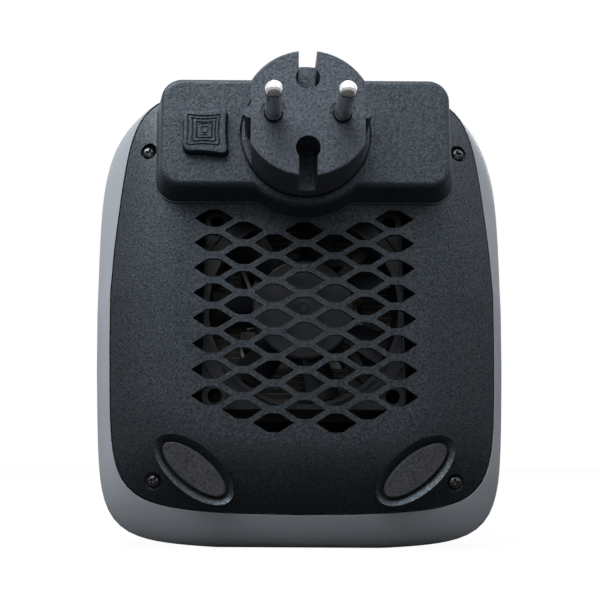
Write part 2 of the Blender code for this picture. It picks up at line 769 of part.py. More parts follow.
class Model:
    """Keeps the collections and adds finished pieces and cutters to them."""

    def __init__(self):
        self.parts = new_collection("plug_in_fan_heater")
        self.cutters = new_collection("cutters")

    def piece(self, name, mesh, material, origin=(0, 0, 0), smooth=30):
        mesh.name = name
        mesh.transform(Matrix.Translation(-Vector(origin)))
        mesh.materials.clear()
        mesh.materials.append(material)
        mesh.shade_smooth()
        mesh.set_sharp_from_angle(angle=radians(smooth))
        obj = bpy.data.objects.new(name, mesh)
        obj.location = origin
        self.parts.objects.link(obj)
        return obj

    def change(self, obj, operation, name, meshes):
        """Adds the bodies to a piece, or cuts them from it."""
        cutter = bpy.data.objects.new(name, joined(meshes))
        cutter.hide_render = True
        cutter.display_type = "WIRE"
        self.cutters.objects.link(cutter)
        modifier = obj.modifiers.new(name, "BOOLEAN")
        modifier.operation = operation
        modifier.object = cutter
        modifier.solver = "EXACT"

    def cut(self, obj, name, meshes):
        self.change(obj, "DIFFERENCE", name, meshes)

    def add(self, obj, name, meshes):
        self.change(obj, "UNION", name, meshes)

    def axis(self, name, location, pieces):
        """An empty on a joint's axis that carries the moving pieces."""
        empty = bpy.data.objects.new(name, None)
        empty.location = location
        empty.empty_display_size = PLUG_RADIUS
        self.parts.objects.link(empty)
        bpy.context.view_layer.update()
        for obj in pieces:
            obj.parent = empty
            obj.matrix_parent_inverse = empty.matrix_world.inverted()
        return empty


def solidify(obj, thickness):
    modifier = obj.modifiers.new("wall", "SOLIDIFY")
    modifier.thickness = thickness
    modifier.offset = -1
    modifier.use_even_offset = True


def mirrored(places):
    return [(side * x, z) for x, z in places for side in (1, -1)]


def case_screw_places():
    return mirrored(
        [(CASE_SCREW_HIGH_X, CASE_SCREW_HIGH_Z), (CASE_SCREW_LOW_X, CASE_SCREW_LOW_Z)]
    )


def box_screw_places():
    """Two screws, at opposite corners of the switch box."""
    return [(-BOX_SCREW_X, PLUG_Z + BOX_SCREW_RISE), (BOX_SCREW_X, PLUG_Z - BOX_SCREW_FALL)]


def fan_hole_places():
    return mirrored(
        [(FAN_HOLE_OFFSET, FAN_Z + FAN_HOLE_OFFSET), (FAN_HOLE_OFFSET, FAN_Z - FAN_HOLE_OFFSET)]
    )


def post(x, z, radius, top_y, hole_radius):
    """A screw post that grows from the inside of the front wall, with a blind hole in its top."""
    foot_y = FRONT_WALL_Y - HOUSING_WALL / 2
    hole_y = max(top_y - POST_HOLE_DEPTH, foot_y + HOUSING_WALL)
    profile = [
        (0, hole_y),
        (hole_radius, hole_y),
        (hole_radius, top_y),
        (radius, top_y),
        (radius, foot_y),
        (0, foot_y),
    ]
    return turned(profile, x, z, SCREW_STEPS)


def pegged_post(x, z, top_y, board_back_y):
    """A post with a thin peg that goes through a board's hole and stands out behind it."""
    foot_y = FRONT_WALL_Y - HOUSING_WALL / 2
    profile = [
        (0, board_back_y + PEG_STAND),
        (PEG_RADIUS, board_back_y + PEG_STAND),
        (PEG_RADIUS, top_y),
        (BOARD_POST_RADIUS, top_y),
        (BOARD_POST_RADIUS, foot_y),
        (0, foot_y),
    ]
    return turned(profile, x, z, SCREW_STEPS)


def cross_outline(x, z):
    """A plus sign of four arms, for a cross-head recess."""
    half, arm = CROSS_WIDTH / 2, CROSS_LENGTH / 2
    corner = [(arm, -half), (arm, half), (half, half)]
    points = []
    for quarter in range(4):
        c, s = cos(CROSS_TURN + quarter * pi / 2), sin(CROSS_TURN + quarter * pi / 2)
        points += [(x + u * c - v * s, z + u * s + v * c) for u, v in corner]
    return points


def screw(x, z, head_y, towards, sizes, length):
    """A pan-head screw. Towards is 1 when its head faces the back, -1 when it faces the front."""
    head_radius, head_height, shank_radius = sizes
    edge = head_height / 3
    profile = [
        (0, head_y + towards * head_height),
        (head_radius - edge, head_y + towards * head_height),
        (head_radius, head_y + towards * edge),
        (head_radius, head_y),
        (shank_radius, head_y),
        (shank_radius, head_y - towards * length),
        (0, head_y - towards * (length + shank_radius)),
    ]
    return turned(profile, x, z, SCREW_STEPS)


def make_front_housing(model, material):
    rings = []
    for step in range(EDGE_STEPS + 1):
        turn = pi / 2 * step / EDGE_STEPS
        inset = FRONT_EDGE_RADIUS * (1 - sin(turn))
        y = FRONT_Y + FRONT_EDGE_RADIUS * (1 - cos(turn))
        rings.append((body_outline(FRONT_NARROWING + inset, inset), y))
    rings += flare_rings()
    housing = model.piece("front_housing", loft(rings, cap_back=False), material)
    solidify(housing, HOUSING_WALL)
    screw_hole = SCREW_SHANK_RADIUS + FIT_GAP
    posts = [
        post(x, z, POST_RADIUS, CASE_POST_TOP_Y, screw_hole) for x, z in case_screw_places()
    ]
    for side in (1, -1):
        frame_top_y = FLANGE_FRONT_Y - FIT_GAP
        posts.append(post(side * FRAME_POST_X, FAN_Z, POST_RADIUS, frame_top_y, screw_hole))
        board_top_y = POWER_BOARD_FRONT_Y - FIT_GAP
        board_hole = BOARD_SCREW_RADIUS + FIT_GAP
        x = side * POWER_POST_X
        posts.append(post(x, POWER_BOARD_Z, BOARD_POST_RADIUS, board_top_y, board_hole))
        display_top_y = DISPLAY_BOARD_FRONT_Y - FIT_GAP
        x = side * DISPLAY_POST_X
        posts.append(pegged_post(x, DISPLAY_BOARD_Z, display_top_y, DISPLAY_BOARD_BACK_Y))
    model.add(housing, "housing_posts", posts)
    low_y, high_y = FRONT_Y - CUT_OVERRUN, FRONT_WALL_Y + CUT_OVERRUN / 2
    openings = [plate([grille_outline(FIT_GAP)], high_y, low_y)]
    openings.append(plate([window_outline(FIT_GAP)], high_y, low_y))
    for x in front_button_places():
        radius = FRONT_BUTTON_RADIUS + FRONT_BUTTON_CLEARANCE
        openings.append(cylinder(radius, high_y, low_y, x, FRONT_BUTTON_Z))
    model.cut(housing, "front_openings", openings)
    # The cover's edge sits in a shallow step.
    seat = cover_outline(COVER_SEAM - COVER_SEAT_STEP)
    seat_front_y = SEAM_Y - COVER_SEAT_DEPTH
    model.cut(housing, "cover_seat", [loft([(seat, seat_front_y), (seat, SEAM_Y + CUT_OVERRUN)])])
    return housing


def grille_outline(grown):
    return rounded_box(
        GRILLE_HALF_WIDTH + grown, GRILLE_HALF_HEIGHT + grown, GRILLE_CORNER + grown, 0, FAN_Z
    )


def window_outline(grown):
    return rounded_box(
        WINDOW_HALF_WIDTH + grown, WINDOW_HALF_HEIGHT + grown, WINDOW_CORNER + grown, 0, WINDOW_Z
    )


def front_button_places():
    middle = (len(FRONT_BUTTON_NAMES) - 1) / 2
    return [FRONT_BUTTON_SPACING * (i - middle) for i in range(len(FRONT_BUTTON_NAMES))]


def make_front_grille(model, material):
    outer, inner = grille_outline(0.0), grille_outline(-GRILLE_BORDER)
    back_y = FRONT_Y + GRILLE_DEPTH
    grille = model.piece("front_grille", plate([outer, inner], back_y, FRONT_Y), material)
    half_width = GRILLE_HALF_WIDTH - GRILLE_BORDER + JOIN_OVERLAP
    half_height = GRILLE_HALF_HEIGHT - GRILLE_BORDER
    pitch = 2 * half_height / (SLATS + 1)
    slat_depth = GRILLE_DEPTH - 2 * SLAT_THICKNESS * sin(SLAT_TILT)
    slats = []
    for i in range(SLATS):
        centre = Vector((0, FRONT_Y + GRILLE_DEPTH / 2, FAN_Z - half_height + pitch * (i + 1)))
        size = Vector((half_width, slat_depth / 2, SLAT_THICKNESS / 2))
        bar = block(-size, size)
        place = Matrix.Translation(centre) @ Matrix.Rotation(-SLAT_TILT, 4, "X")
        slats.append(moved(bar, place))
    model.add(grille, "grille_slats", slats)
    ribs = []
    reach = half_height + JOIN_OVERLAP
    for i in range(GRILLE_RIBS):
        x = 2 * half_width * ((i + 1) / (GRILLE_RIBS + 1) - 1 / 2)
        low = (x - GRILLE_RIB_WIDTH / 2, back_y - GRILLE_RIB_DEPTH, FAN_Z - reach)
        high = (x + GRILLE_RIB_WIDTH / 2, back_y - CUT_OVERRUN / 2, FAN_Z + reach)
        ribs.append(block(low, high))
    model.add(grille, "grille_ribs", ribs)
    lip_front_y = FRONT_WALL_Y + FIT_GAP
    outlines = [grille_outline(GRILLE_LIP), grille_outline(-GRILLE_BORDER / 2)]
    lip = plate(outlines, lip_front_y + GRILLE_LIP_THICKNESS, lip_front_y)
    model.add(grille, "grille_lip", [lip])
    return grille


def make_window_and_buttons(model, window_material, button_material, pieces):
    lip_front_y = FRONT_WALL_Y + FIT_GAP
    pane_back_y = lip_front_y + WINDOW_LIP_THICKNESS / 2
    pane = plate([window_outline(0.0)], pane_back_y, FRONT_Y + WINDOW_RECESS)
    window = model.piece("display_window", pane, window_material)
    lip = plate([window_outline(WINDOW_LIP)], lip_front_y + WINDOW_LIP_THICKNESS, lip_front_y)
    model.add(window, "window_lip", [lip])
    lip_back_y = lip_front_y + FRONT_BUTTON_LIP_THICKNESS
    stem_back_y = DISPLAY_BOARD_FRONT_Y - TACT_HEIGHT - FRONT_BUTTON_TRAVEL - 2 * FIT_GAP
    for name, x in zip(FRONT_BUTTON_NAMES, front_button_places()):
        profile = [
            (0, stem_back_y),
            (FRONT_BUTTON_STEM, stem_back_y),
            (FRONT_BUTTON_STEM, lip_back_y),
            (FRONT_BUTTON_RADIUS + FRONT_BUTTON_LIP, lip_back_y),
            (FRONT_BUTTON_RADIUS + FRONT_BUTTON_LIP, lip_front_y),
            (FRONT_BUTTON_RADIUS, lip_front_y),
            (FRONT_BUTTON_RADIUS, FRONT_Y + FRONT_BUTTON_RECESS + FRONT_BUTTON_EDGE),
            (FRONT_BUTTON_RADIUS - FRONT_BUTTON_EDGE, FRONT_Y + FRONT_BUTTON_RECESS),
            (0, FRONT_Y + FRONT_BUTTON_RECESS),
        ]
        mesh = turned(profile, x, FRONT_BUTTON_Z, SMALL_ROUND_STEPS)
        origin = (x, FRONT_Y + FRONT_BUTTON_RECESS, FRONT_BUTTON_Z)
        pieces[name] = model.piece(name, mesh, button_material, origin)


def make_display_board(model, board_material, part_material):
    sizes = (DISPLAY_BOARD_HALF_WIDTH, DISPLAY_BOARD_HALF_HEIGHT, BOARD_POST_RADIUS)
    outlines = [rounded_box(*sizes, 0, DISPLAY_BOARD_Z)]
    for side in (1, -1):
        hole = circle(PEG_RADIUS + FIT_GAP, side * DISPLAY_POST_X, DISPLAY_BOARD_Z, SCREW_STEPS)
        outlines.append(hole)
    board = plate(outlines, DISPLAY_BOARD_BACK_Y, DISPLAY_BOARD_FRONT_Y)
    board = model.piece("display_board", board, board_material)
    # The small switches are soldered on, so they and the board are one body.
    size = (2 * TACT_HALF_WIDTH, 2 * TACT_HALF_WIDTH, TACT_HEIGHT + JOIN_OVERLAP)
    seat_y = DISPLAY_BOARD_FRONT_Y + JOIN_OVERLAP
    tacts = [block_at(size, x, seat_y, FRONT_BUTTON_Z) for x in front_button_places()]
    model.add(board, "tact_switches", tacts)
    digits_back_y = DISPLAY_BOARD_FRONT_Y - FIT_GAP
    window_back_y = FRONT_WALL_Y + FIT_GAP + WINDOW_LIP_THICKNESS
    depth = digits_back_y - window_back_y - FIT_GAP
    size = (2 * DIGIT_HALF_WIDTH, 2 * DIGIT_HALF_HEIGHT, depth)
    model.piece("digit_display", block_at(size, 0, digits_back_y, WINDOW_Z), part_material)


def make_power_board(model, materials):
    board_sizes = (POWER_BOARD_HALF_WIDTH, POWER_BOARD_HALF_HEIGHT, BOARD_POST_RADIUS)
    outlines = [rounded_box(*board_sizes, 0, POWER_BOARD_Z)]
    seat_y = POWER_BOARD_BACK_Y + FIT_GAP
    sizes = (BOARD_SCREW_HEAD_RADIUS, BOARD_SCREW_HEAD_HEIGHT, BOARD_SCREW_RADIUS)
    length = BOARD_SCREW_GRIP + POWER_BOARD_THICKNESS
    for side, end in ((1, "left"), (-1, "right")):
        x = side * POWER_POST_X
        outlines.append(circle(BOARD_SCREW_RADIUS + FIT_GAP, x, POWER_BOARD_Z, SCREW_STEPS))
        mesh = screw(x, POWER_BOARD_Z, seat_y, 1, sizes, length)
        model.piece("power_board_screw_" + end, mesh, materials["steel"])
    board = plate(outlines, POWER_BOARD_BACK_Y, POWER_BOARD_FRONT_Y)
    model.piece("power_board", board, materials["board"])
    blocks = (
        ("relay", RELAY_SIZE, RELAY_X, RELAY_Z, "relay"),
        ("terminal_block", TERMINAL_SIZE, TERMINAL_X, TERMINAL_Z, "relay"),
    )
    for name, size, x, z, material in blocks:
        mesh = block_at(size, x, seat_y + size[2], z)
        model.piece(name, mesh, materials[material])
    top_y = seat_y + CAPACITOR_LENGTH
    mesh = cylinder(CAPACITOR_RADIUS, top_y, seat_y, CAPACITOR_X, CAPACITOR_Z)
    model.piece("capacitor", mesh, materials["soft_black"])
    low = (-LINK_HALF_WIDTH, DISPLAY_BOARD_BACK_Y + FIT_GAP, LINK_Z - LINK_THICKNESS / 2)
    high = (LINK_HALF_WIDTH, POWER_BOARD_FRONT_Y - FIT_GAP, LINK_Z + LINK_THICKNESS / 2)
    model.piece("board_link", block(low, high), materials["soft_black"])


def eared_square():
    """The heater frame's flange: a square with an ear at the middle of either side."""
    side, ear, reach = FLANGE_HALF_SIDE, FLANGE_EAR_HALF_HEIGHT, FLANGE_EAR_REACH
    right = [(side, -side), (side, -ear), (reach, -ear), (reach, ear), (side, ear), (side, side)]
    points = right + [(-x, -z) for x, z in right]
    return [(x, z + FAN_Z) for x, z in points]


def make_heater_frame(model, material):
    flange = [eared_square(), circle(TUBE_RADIUS, 0, FAN_Z)]
    for x, z in fan_hole_places() + [(FRAME_POST_X, FAN_Z), (-FRAME_POST_X, FAN_Z)]:
        flange.append(circle(SCREW_SHANK_RADIUS + FIT_GAP, x, z, SCREW_STEPS))
    mesh = plate(flange, FLANGE_BACK_Y, FLANGE_FRONT_Y)
    frame = model.piece("heater_frame", mesh, material)
    outer = TUBE_RADIUS + TUBE_WALL
    inner = TUBE_RADIUS + FIT_GAP / 2
    back_y = (FLANGE_BACK_Y + FLANGE_FRONT_Y) / 2
    model.add(frame, "air_tube", [tube(outer, inner, back_y, TUBE_FRONT_Y, 0, FAN_Z)])
    return frame


def make_frame_screws(model, material):
    sizes = (SCREW_HEAD_RADIUS, SCREW_HEAD_HEIGHT, SCREW_SHANK_RADIUS)
    for side, end in ((1, "left"), (-1, "right")):
        head_y = FLANGE_BACK_Y + FIT_GAP
        length = SCREW_GRIP + FLANGE_THICKNESS
        mesh = screw(side * FRAME_POST_X, FAN_Z, head_y, 1, sizes, length)
        model.piece("frame_screw_" + end, mesh, material)
        # The fan's two screws are at opposite corners and go in from the front.
        x, z = side * FAN_HOLE_OFFSET, FAN_Z + side * FAN_HOLE_OFFSET
        mesh = screw(x, z, FLANGE_FRONT_Y - FIT_GAP, -1, sizes, FAN_SCREW_LENGTH)
        model.piece("fan_screw_" + end, mesh, material)


def fin_outline(low_z, high_z):
    """A folded strip of foil, as one thick zigzag between two level bars."""
    half = ELEMENT_HALF_WIDTH - FIN_THICKNESS
    fold = 2 * half / FIN_FOLDS
    lower, upper = [], []
    for i in range(FIN_FOLDS + 1):
        x = -half + fold * i
        crest = i % 2 == 1
        z = high_z - FIN_THICKNESS if crest else low_z
        lower.append((x, z))
        upper.append((x, z + FIN_THICKNESS))
    widened = [(x + FIN_THICKNESS, z) for x, z in lower]
    return widened + [(x - FIN_THICKNESS, z) for x, z in reversed(upper)]


def make_element(model, materials):
    """Ceramic bars with folded fins between them, held by two carriers in the air tube."""
    z = FAN_Z - ELEMENT_HALF_HEIGHT
    for row in range(ELEMENT_ROWS):
        outline = fin_outline(z, z + FIN_ROW_HEIGHT)
        fins = plate([outline], ELEMENT_BACK_Y, ELEMENT_FRONT_Y)
        model.piece(f"heater_fins_{row + 1}", fins, materials["aluminium"])
        z += FIN_ROW_HEIGHT + FIT_GAP
        if row == ELEMENT_BARS:
            break
        low = (-ELEMENT_HALF_WIDTH, ELEMENT_FRONT_Y, z)
        high = (ELEMENT_HALF_WIDTH, ELEMENT_BACK_Y, z + BAR_HEIGHT)
        bar = model.piece(f"heating_bar_{row + 1}", block(low, high), materials["ceramic"])
        side = 1 if row % 2 == 0 else -1
        size = (TAB_WIDTH, TAB_THICKNESS, TAB_LENGTH + JOIN_OVERLAP)
        tab = block_at(size, side * tab_reach(), ELEMENT_FRONT_Y + JOIN_OVERLAP, z + BAR_HEIGHT / 2)
        model.add(bar, f"bar_terminal_{row + 1}", [tab])
        z += BAR_HEIGHT + FIT_GAP
    half_width, half_height = ELEMENT_HALF_WIDTH - CARRIER_LIP, ELEMENT_HALF_HEIGHT - CARRIER_LIP
    window = rounded_box(half_width, half_height, CARRIER_LIP, 0, FAN_Z, steps=1)
    outlines = [circle(TUBE_RADIUS - FIT_GAP, 0, FAN_Z), window]
    places = (
        ("element_carrier_back", ELEMENT_BACK_Y + FIT_GAP + CARRIER_THICKNESS),
        ("element_carrier_front", ELEMENT_FRONT_Y - FIT_GAP),
    )
    for name, back_y in places:
        mesh = plate(outlines, back_y, back_y - CARRIER_THICKNESS)
        model.piece(name, mesh, materials["mica"])
    seat_y = ELEMENT_FRONT_Y - FIT_GAP - CARRIER_THICKNESS - FIT_GAP
    offset = (ELEMENT_HALF_HEIGHT + TUBE_RADIUS) / 2
    mesh = cylinder(CUTOUT_RADIUS, seat_y, seat_y - CUTOUT_THICKNESS, 0, FAN_Z + offset)
    model.piece("thermal_cutout", mesh, materials["aluminium"])
    size = (FUSE_LENGTH, 2 * FUSE_RADIUS, 2 * FUSE_RADIUS)
    fuse = block_at(size, 0, seat_y, FAN_Z - offset)
    fuse = model.piece("thermal_fuse", fuse, materials["steel"])
    bevel = fuse.modifiers.new("round", "BEVEL")
    bevel.width = FUSE_RADIUS / 2
    bevel.segments = 2


def tab_reach():
    """How far from the middle a bar's terminal stands."""
    return ELEMENT_HALF_WIDTH - TAB_WIDTH - CARRIER_LIP


def hole_places():
    """Centres of the air holes: long columns between short ones that sit half a row lower."""
    places = []
    middle = (HOLE_COLUMNS - 1) / 2
    for column in range(HOLE_COLUMNS):
        offset = column - middle
        x = offset * HOLE_PITCH_X / 2
        outermost = column in (0, HOLE_COLUMNS - 1)
        long_column = column % 2 == 0
        rows = HOLE_LONG_COLUMN if long_column else HOLE_LONG_COLUMN - 1
        for row in range(rows):
            level = row if long_column else row + 1 / 2
            last_row = row == rows - 1
            first_row = row == 0
            if long_column and outermost and last_row:
                continue
            if long_column and not outermost and first_row:
                continue
            places.append((x, HOLE_TOP_Z - level * HOLE_PITCH_Z))
    return places


def air_hole(x, z):
    half_width, half_height, half_flat = HOLE_WIDTH / 2, HOLE_HEIGHT / 2, HOLE_FLAT / 2
    return [
        (x + half_width, z),
        (x + half_flat, z + half_height),
        (x - half_flat, z + half_height),
        (x - half_width, z),
        (x - half_flat, z - half_height),
        (x + half_flat, z - half_height),
    ]


def make_back_cover(model, material):
    rings = [(cover_outline(), COVER_EDGE_Y - COVER_SKIRT)] + dome_rings()
    cover = model.piece("back_cover", loft(rings, cap_front=False), material)
    solidify(cover, COVER_WALL)
    sleeves = []
    for x, z in case_screw_places():
        radius = WELL_RADIUS + WELL_WALL
        back_y = CROWN_Y - COVER_DROP / 2 - COVER_WALL / 2
        sleeves.append(cylinder(radius, back_y, WELL_FLOOR_Y - WELL_FLOOR_WALL, x, z))
    for x, z in box_screw_places():
        seat_y = CROWN_Y - BOX_SCREW_SEAT_DROP
        drop = COVER_WALL / 2 if z < PLUG_Z else COVER_DROP / 2
        sleeves.append(cylinder(BOX_BOSS_RADIUS, CROWN_Y - drop, seat_y, x, z))
    seat_back_y = CARRIER_BACK_Y - FIT_GAP
    outer = CARRIER_SEAT_RADIUS
    seat_front_y = CROWN_Y - COVER_DROP / 2 - COVER_WALL / 2
    sleeves.append(
        tube(outer, outer - CARRIER_SEAT_WALL, seat_back_y, seat_front_y, 0, PLUG_Z)
    )
    model.add(cover, "cover_sleeves", sleeves)
    pad_seats, above_seats = [], []
    seat_y = CROWN_Y - PAD_SEAT_DROP
    for side in (1, -1):
        place = (side * PAD_TILT, side * PAD_X, PAD_Z, PAD_STEPS)
        seat = oval(PAD_SEAT_HALF_LENGTH, PAD_SEAT_HALF_WIDTH, *place)
        recess = oval(PAD_SEAT_HALF_LENGTH + FIT_GAP, PAD_SEAT_HALF_WIDTH + FIT_GAP, *place)
        pocket = oval(PAD_HALF_LENGTH + FIT_GAP, PAD_HALF_WIDTH + FIT_GAP, *place)
        wider = oval(PAD_HALF_LENGTH + 2 * FIT_GAP, PAD_HALF_WIDTH + 2 * FIT_GAP, *place)
        # What the domed cover has above the flat and in the pocket goes first.
        rings = [
            (wider, seat_y - PAD_POCKET_DEPTH - FIT_GAP),
            (wider, seat_y),
            (recess, seat_y),
            (recess, CROWN_Y + CUT_OVERRUN),
        ]
        above_seats.append(loft(rings))
        # Closed at the pocket's floor: up the outside, over the flat and down into the pocket.
        rings = [
            (seat, seat_y - PAD_SEAT_HEIGHT),
            (seat, seat_y),
            (pocket, seat_y),
            (pocket, seat_y - PAD_POCKET_DEPTH),
        ]
        pad_seats.append(loft(rings))
    model.cut(cover, "above_pad_seats", above_seats)
    model.add(cover, "pad_seats", pad_seats)
    bores = []
    for x, z in case_screw_places():
        hole = SCREW_SHANK_RADIUS + FIT_GAP
        profile = [
            (0, CROWN_Y),
            (WELL_RADIUS, CROWN_Y),
            (WELL_RADIUS, WELL_FLOOR_Y),
            (hole, WELL_FLOOR_Y),
            (hole, WELL_FLOOR_Y - WELL_FLOOR_WALL - CUT_OVERRUN),
            (0, WELL_FLOOR_Y - WELL_FLOOR_WALL - CUT_OVERRUN),
        ]
        bores.append(turned(profile, x, z, SMALL_ROUND_STEPS))
    for x, z in box_screw_places():
        radius = SCREW_SHANK_RADIUS + FIT_GAP
        front_y = CROWN_Y - BOX_SCREW_SEAT_DROP - CUT_OVERRUN
        bores.append(cylinder(radius, CROWN_Y + CUT_OVERRUN, front_y, x, z))
    model.cut(cover, "screw_bores", bores)
    front_y = CROWN_Y - COVER_DROP
    back_y = CROWN_Y + CUT_OVERRUN
    openings = [plate([air_hole(x, z)], back_y, front_y) for x, z in hole_places()]
    openings.append(
        cylinder(LEAD_OPENING_RADIUS, back_y, front_y, 0, PLUG_Z, ROUND_STEPS)
    )
    half = SWITCH_OPENING_HALF
    size = (2 * half, 2 * half, back_y - front_y)
    openings.append(block_at(size, BUTTON_X, back_y, PLUG_Z))
    model.cut(cover, "air_holes", openings)
    return cover


def make_case_screws(model, material):
    sizes = (SCREW_HEAD_RADIUS, SCREW_HEAD_HEIGHT, SCREW_SHANK_RADIUS)
    head_y = WELL_FLOOR_Y + FIT_GAP
    top_y = head_y + SCREW_HEAD_HEIGHT
    names = ("top_left", "top_right", "bottom_left", "bottom_right")
    for name, (x, z) in zip(names, case_screw_places()):
        mesh = screw(x, z, head_y, 1, sizes, SCREW_GRIP + WELL_FLOOR_WALL)
        obj = model.piece("case_screw_" + name, mesh, material)
        cross = plate([cross_outline(x, z)], top_y + CUT_OVERRUN, top_y - CROSS_DEPTH)
        model.cut(obj, "cross_" + name, [cross])


def make_pads(model, material):
    floor_y = CROWN_Y - PAD_SEAT_DROP - PAD_POCKET_DEPTH + FIT_GAP
    for side, name in ((1, "foot_pad_left"), (-1, "foot_pad_right")):
        rings = []
        heights = ((0.0, 0.0), (0.0, PAD_THICKNESS - PAD_EDGE), (PAD_EDGE, PAD_THICKNESS))
        for inset, height in heights:
            place = (side * PAD_TILT, side * PAD_X, PAD_Z, PAD_STEPS)
            outline = oval(PAD_HALF_LENGTH - inset, PAD_HALF_WIDTH - inset, *place)
            rings.append((outline, floor_y + height))
        model.piece(name, loft(rings), material)


def make_switch_box(model, material):
    base_y = CROWN_Y - BOX_SKIRT
    base_share = (BOX_FACE_Y - base_y) / BOX_STAND
    rings = [(box_outline(0.0, base_share), base_y)]
    for step in range(EDGE_STEPS + 1):
        turn = pi / 2 * step / EDGE_STEPS
        inset = BOX_EDGE * (1 - cos(turn))
        y = BOX_FACE_Y - BOX_EDGE + BOX_EDGE * sin(turn)
        rings.append((box_outline(inset, (BOX_FACE_Y - y) / BOX_STAND), y))
    box = model.piece("switch_box", loft(rings, cap_front=False), material)
    solidify(box, BOX_WALL)
    bosses = []
    boss_back_y = BOX_FACE_Y - BOX_WALL / 2
    for x, z in box_screw_places():
        bosses.append(cylinder(BOX_BOSS_RADIUS, boss_back_y, base_y, x, z))
    model.add(box, "box_bosses", bosses)
    envelope = flare_rings(FIT_GAP) + dome_rings(FIT_GAP)
    model.cut(box, "cover_surface", [loft(envelope)])
    above_y = BOX_FACE_Y + CUT_OVERRUN
    openings = [cylinder(PLUG_OPENING_RADIUS, above_y, base_y, 0, PLUG_Z, PLUG_STEPS)]
    opening = button_outline(BUTTON_CLEARANCE)
    openings.append(plate([opening], above_y, BOX_CEILING_Y - CUT_OVERRUN))
    hole = SCREW_SHANK_RADIUS + FIT_GAP
    for x, z in box_screw_places():
        openings.append(cylinder(hole, BOX_CEILING_Y - FIT_GAP, base_y - CUT_OVERRUN, x, z))
    model.cut(box, "box_openings", openings)
    seat = cylinder(BOX_SEAT_RADIUS, BOX_CEILING_Y, base_y - CUT_OVERRUN, 0, PLUG_Z, PLUG_STEPS)
    model.cut(box, "plug_seat", [seat])
    return box


def make_box_screws(model, material):
    sizes = (SCREW_HEAD_RADIUS, SCREW_HEAD_HEIGHT, SCREW_SHANK_RADIUS)
    head_y = CROWN_Y - BOX_SCREW_SEAT_DROP - FIT_GAP
    for name, (x, z) in zip(("top", "bottom"), box_screw_places()):
        mesh = screw(x, z, head_y, -1, sizes, SCREW_GRIP + BOX_SCREW_SEAT_DROP)
        model.piece("box_screw_" + name, mesh, material)


def make_power_button(model, material):
    flange_front_y = BUTTON_FLANGE_BACK_Y
    flange_back_y = BOX_CEILING_Y - FIT_GAP
    rings = [
        (button_outline(BUTTON_FLANGE), flange_front_y),
        (button_outline(BUTTON_FLANGE), flange_back_y),
        (button_outline(0.0), flange_back_y),
        (button_outline(0.0), BUTTON_TOP_Y - BUTTON_STEP),
        (button_outline(-BUTTON_STEP), BUTTON_TOP_Y),
    ]
    level = BUTTON_TOP_Y
    for inset in BUTTON_STEP_INSETS:
        rings.append((button_outline(-inset), level))
        level -= BUTTON_STEP
        rings.append((button_outline(-inset - BUTTON_STEP), level))
    button = model.piece(
        "power_button", loft(rings), material, origin=(BUTTON_X, BUTTON_TOP_Y, PLUG_Z)
    )
    stem_back_y = flange_front_y + BUTTON_FLANGE_THICKNESS / 2
    stem_front_y = flange_front_y - BUTTON_STEM_LENGTH
    stem = cylinder(BUTTON_STEM_RADIUS, stem_back_y, stem_front_y, BUTTON_X, PLUG_Z)
    model.add(button, "button_stem", [stem])
    return button


def make_power_switch(model, material):
    half = SWITCH_HALF_WIDTH
    outline = rounded_box(half, half, BUTTON_CORNER / 2, BUTTON_X, PLUG_Z, steps=2)
    body = plate([outline], SWITCH_TOP_Y, SWITCH_BACK_Y)
    switch = model.piece("power_switch", body, material)
    throat_y = SWITCH_TOP_Y - SWITCH_THROAT_DEPTH
    radius = BUTTON_STEM_RADIUS + FIT_GAP
    throat = cylinder(radius, SWITCH_TOP_Y + CUT_OVERRUN, throat_y, BUTTON_X, PLUG_Z)
    model.cut(switch, "switch_throat", [throat])
    terminals = []
    for side in (1, -1):
        x = BUTTON_X + side * SWITCH_TERMINAL_SPACING / 2
        back_y = SWITCH_BACK_Y + JOIN_OVERLAP
        front_y = SWITCH_BACK_Y - SWITCH_TERMINAL_LENGTH
        terminals.append(cylinder(SWITCH_TERMINAL_RADIUS, back_y, front_y, x, PLUG_Z, 8))
    model.add(switch, "switch_terminals", terminals)


def keyhole(direction):
    """A round hole with a slot from it out through the plug's rim."""
    half = KEYHOLE_SLOT_WIDTH / 2
    centre_z = PLUG_Z + direction * KEYHOLE_OFFSET
    end_z = PLUG_Z + direction * (PLUG_RADIUS + CUT_OVERRUN)
    spread = asin(half / KEYHOLE_RADIUS)
    start = direction * pi / 2 + spread
    outline = arc(0, centre_z, KEYHOLE_RADIUS, start, start + tau - 2 * spread, ROUND_STEPS // 2)
    outline += [(direction * half, end_z), (-direction * half, end_z)]
    return plate([outline], PLUG_FACE_Y + CUT_OVERRUN, PLUG_FACE_Y - KEYHOLE_DEPTH)


def flat_cutter(side):
    """What is cut from one side of the plug: a flat that leaves a short rib at its middle."""
    rib, reach, chamfer = PLUG_RIB_HALF_WIDTH, PLUG_RIB_REACH, PLUG_RIB_CHAMFER
    outside = PLUG_RADIUS + CUT_OVERRUN
    points = [
        (PLUG_FLAT, outside),
        (PLUG_FLAT, rib),
        (reach - chamfer, rib),
        (reach, rib - chamfer),
        (reach, chamfer - rib),
        (reach - chamfer, -rib),
        (PLUG_FLAT, -rib),
        (PLUG_FLAT, -outside),
        (outside, -outside),
        (outside, outside),
    ]
    outline = [(side * x, z + PLUG_Z) for x, z in points]
    return plate([outline], PLUG_FACE_Y + CUT_OVERRUN, PLUG_BASE_Y)


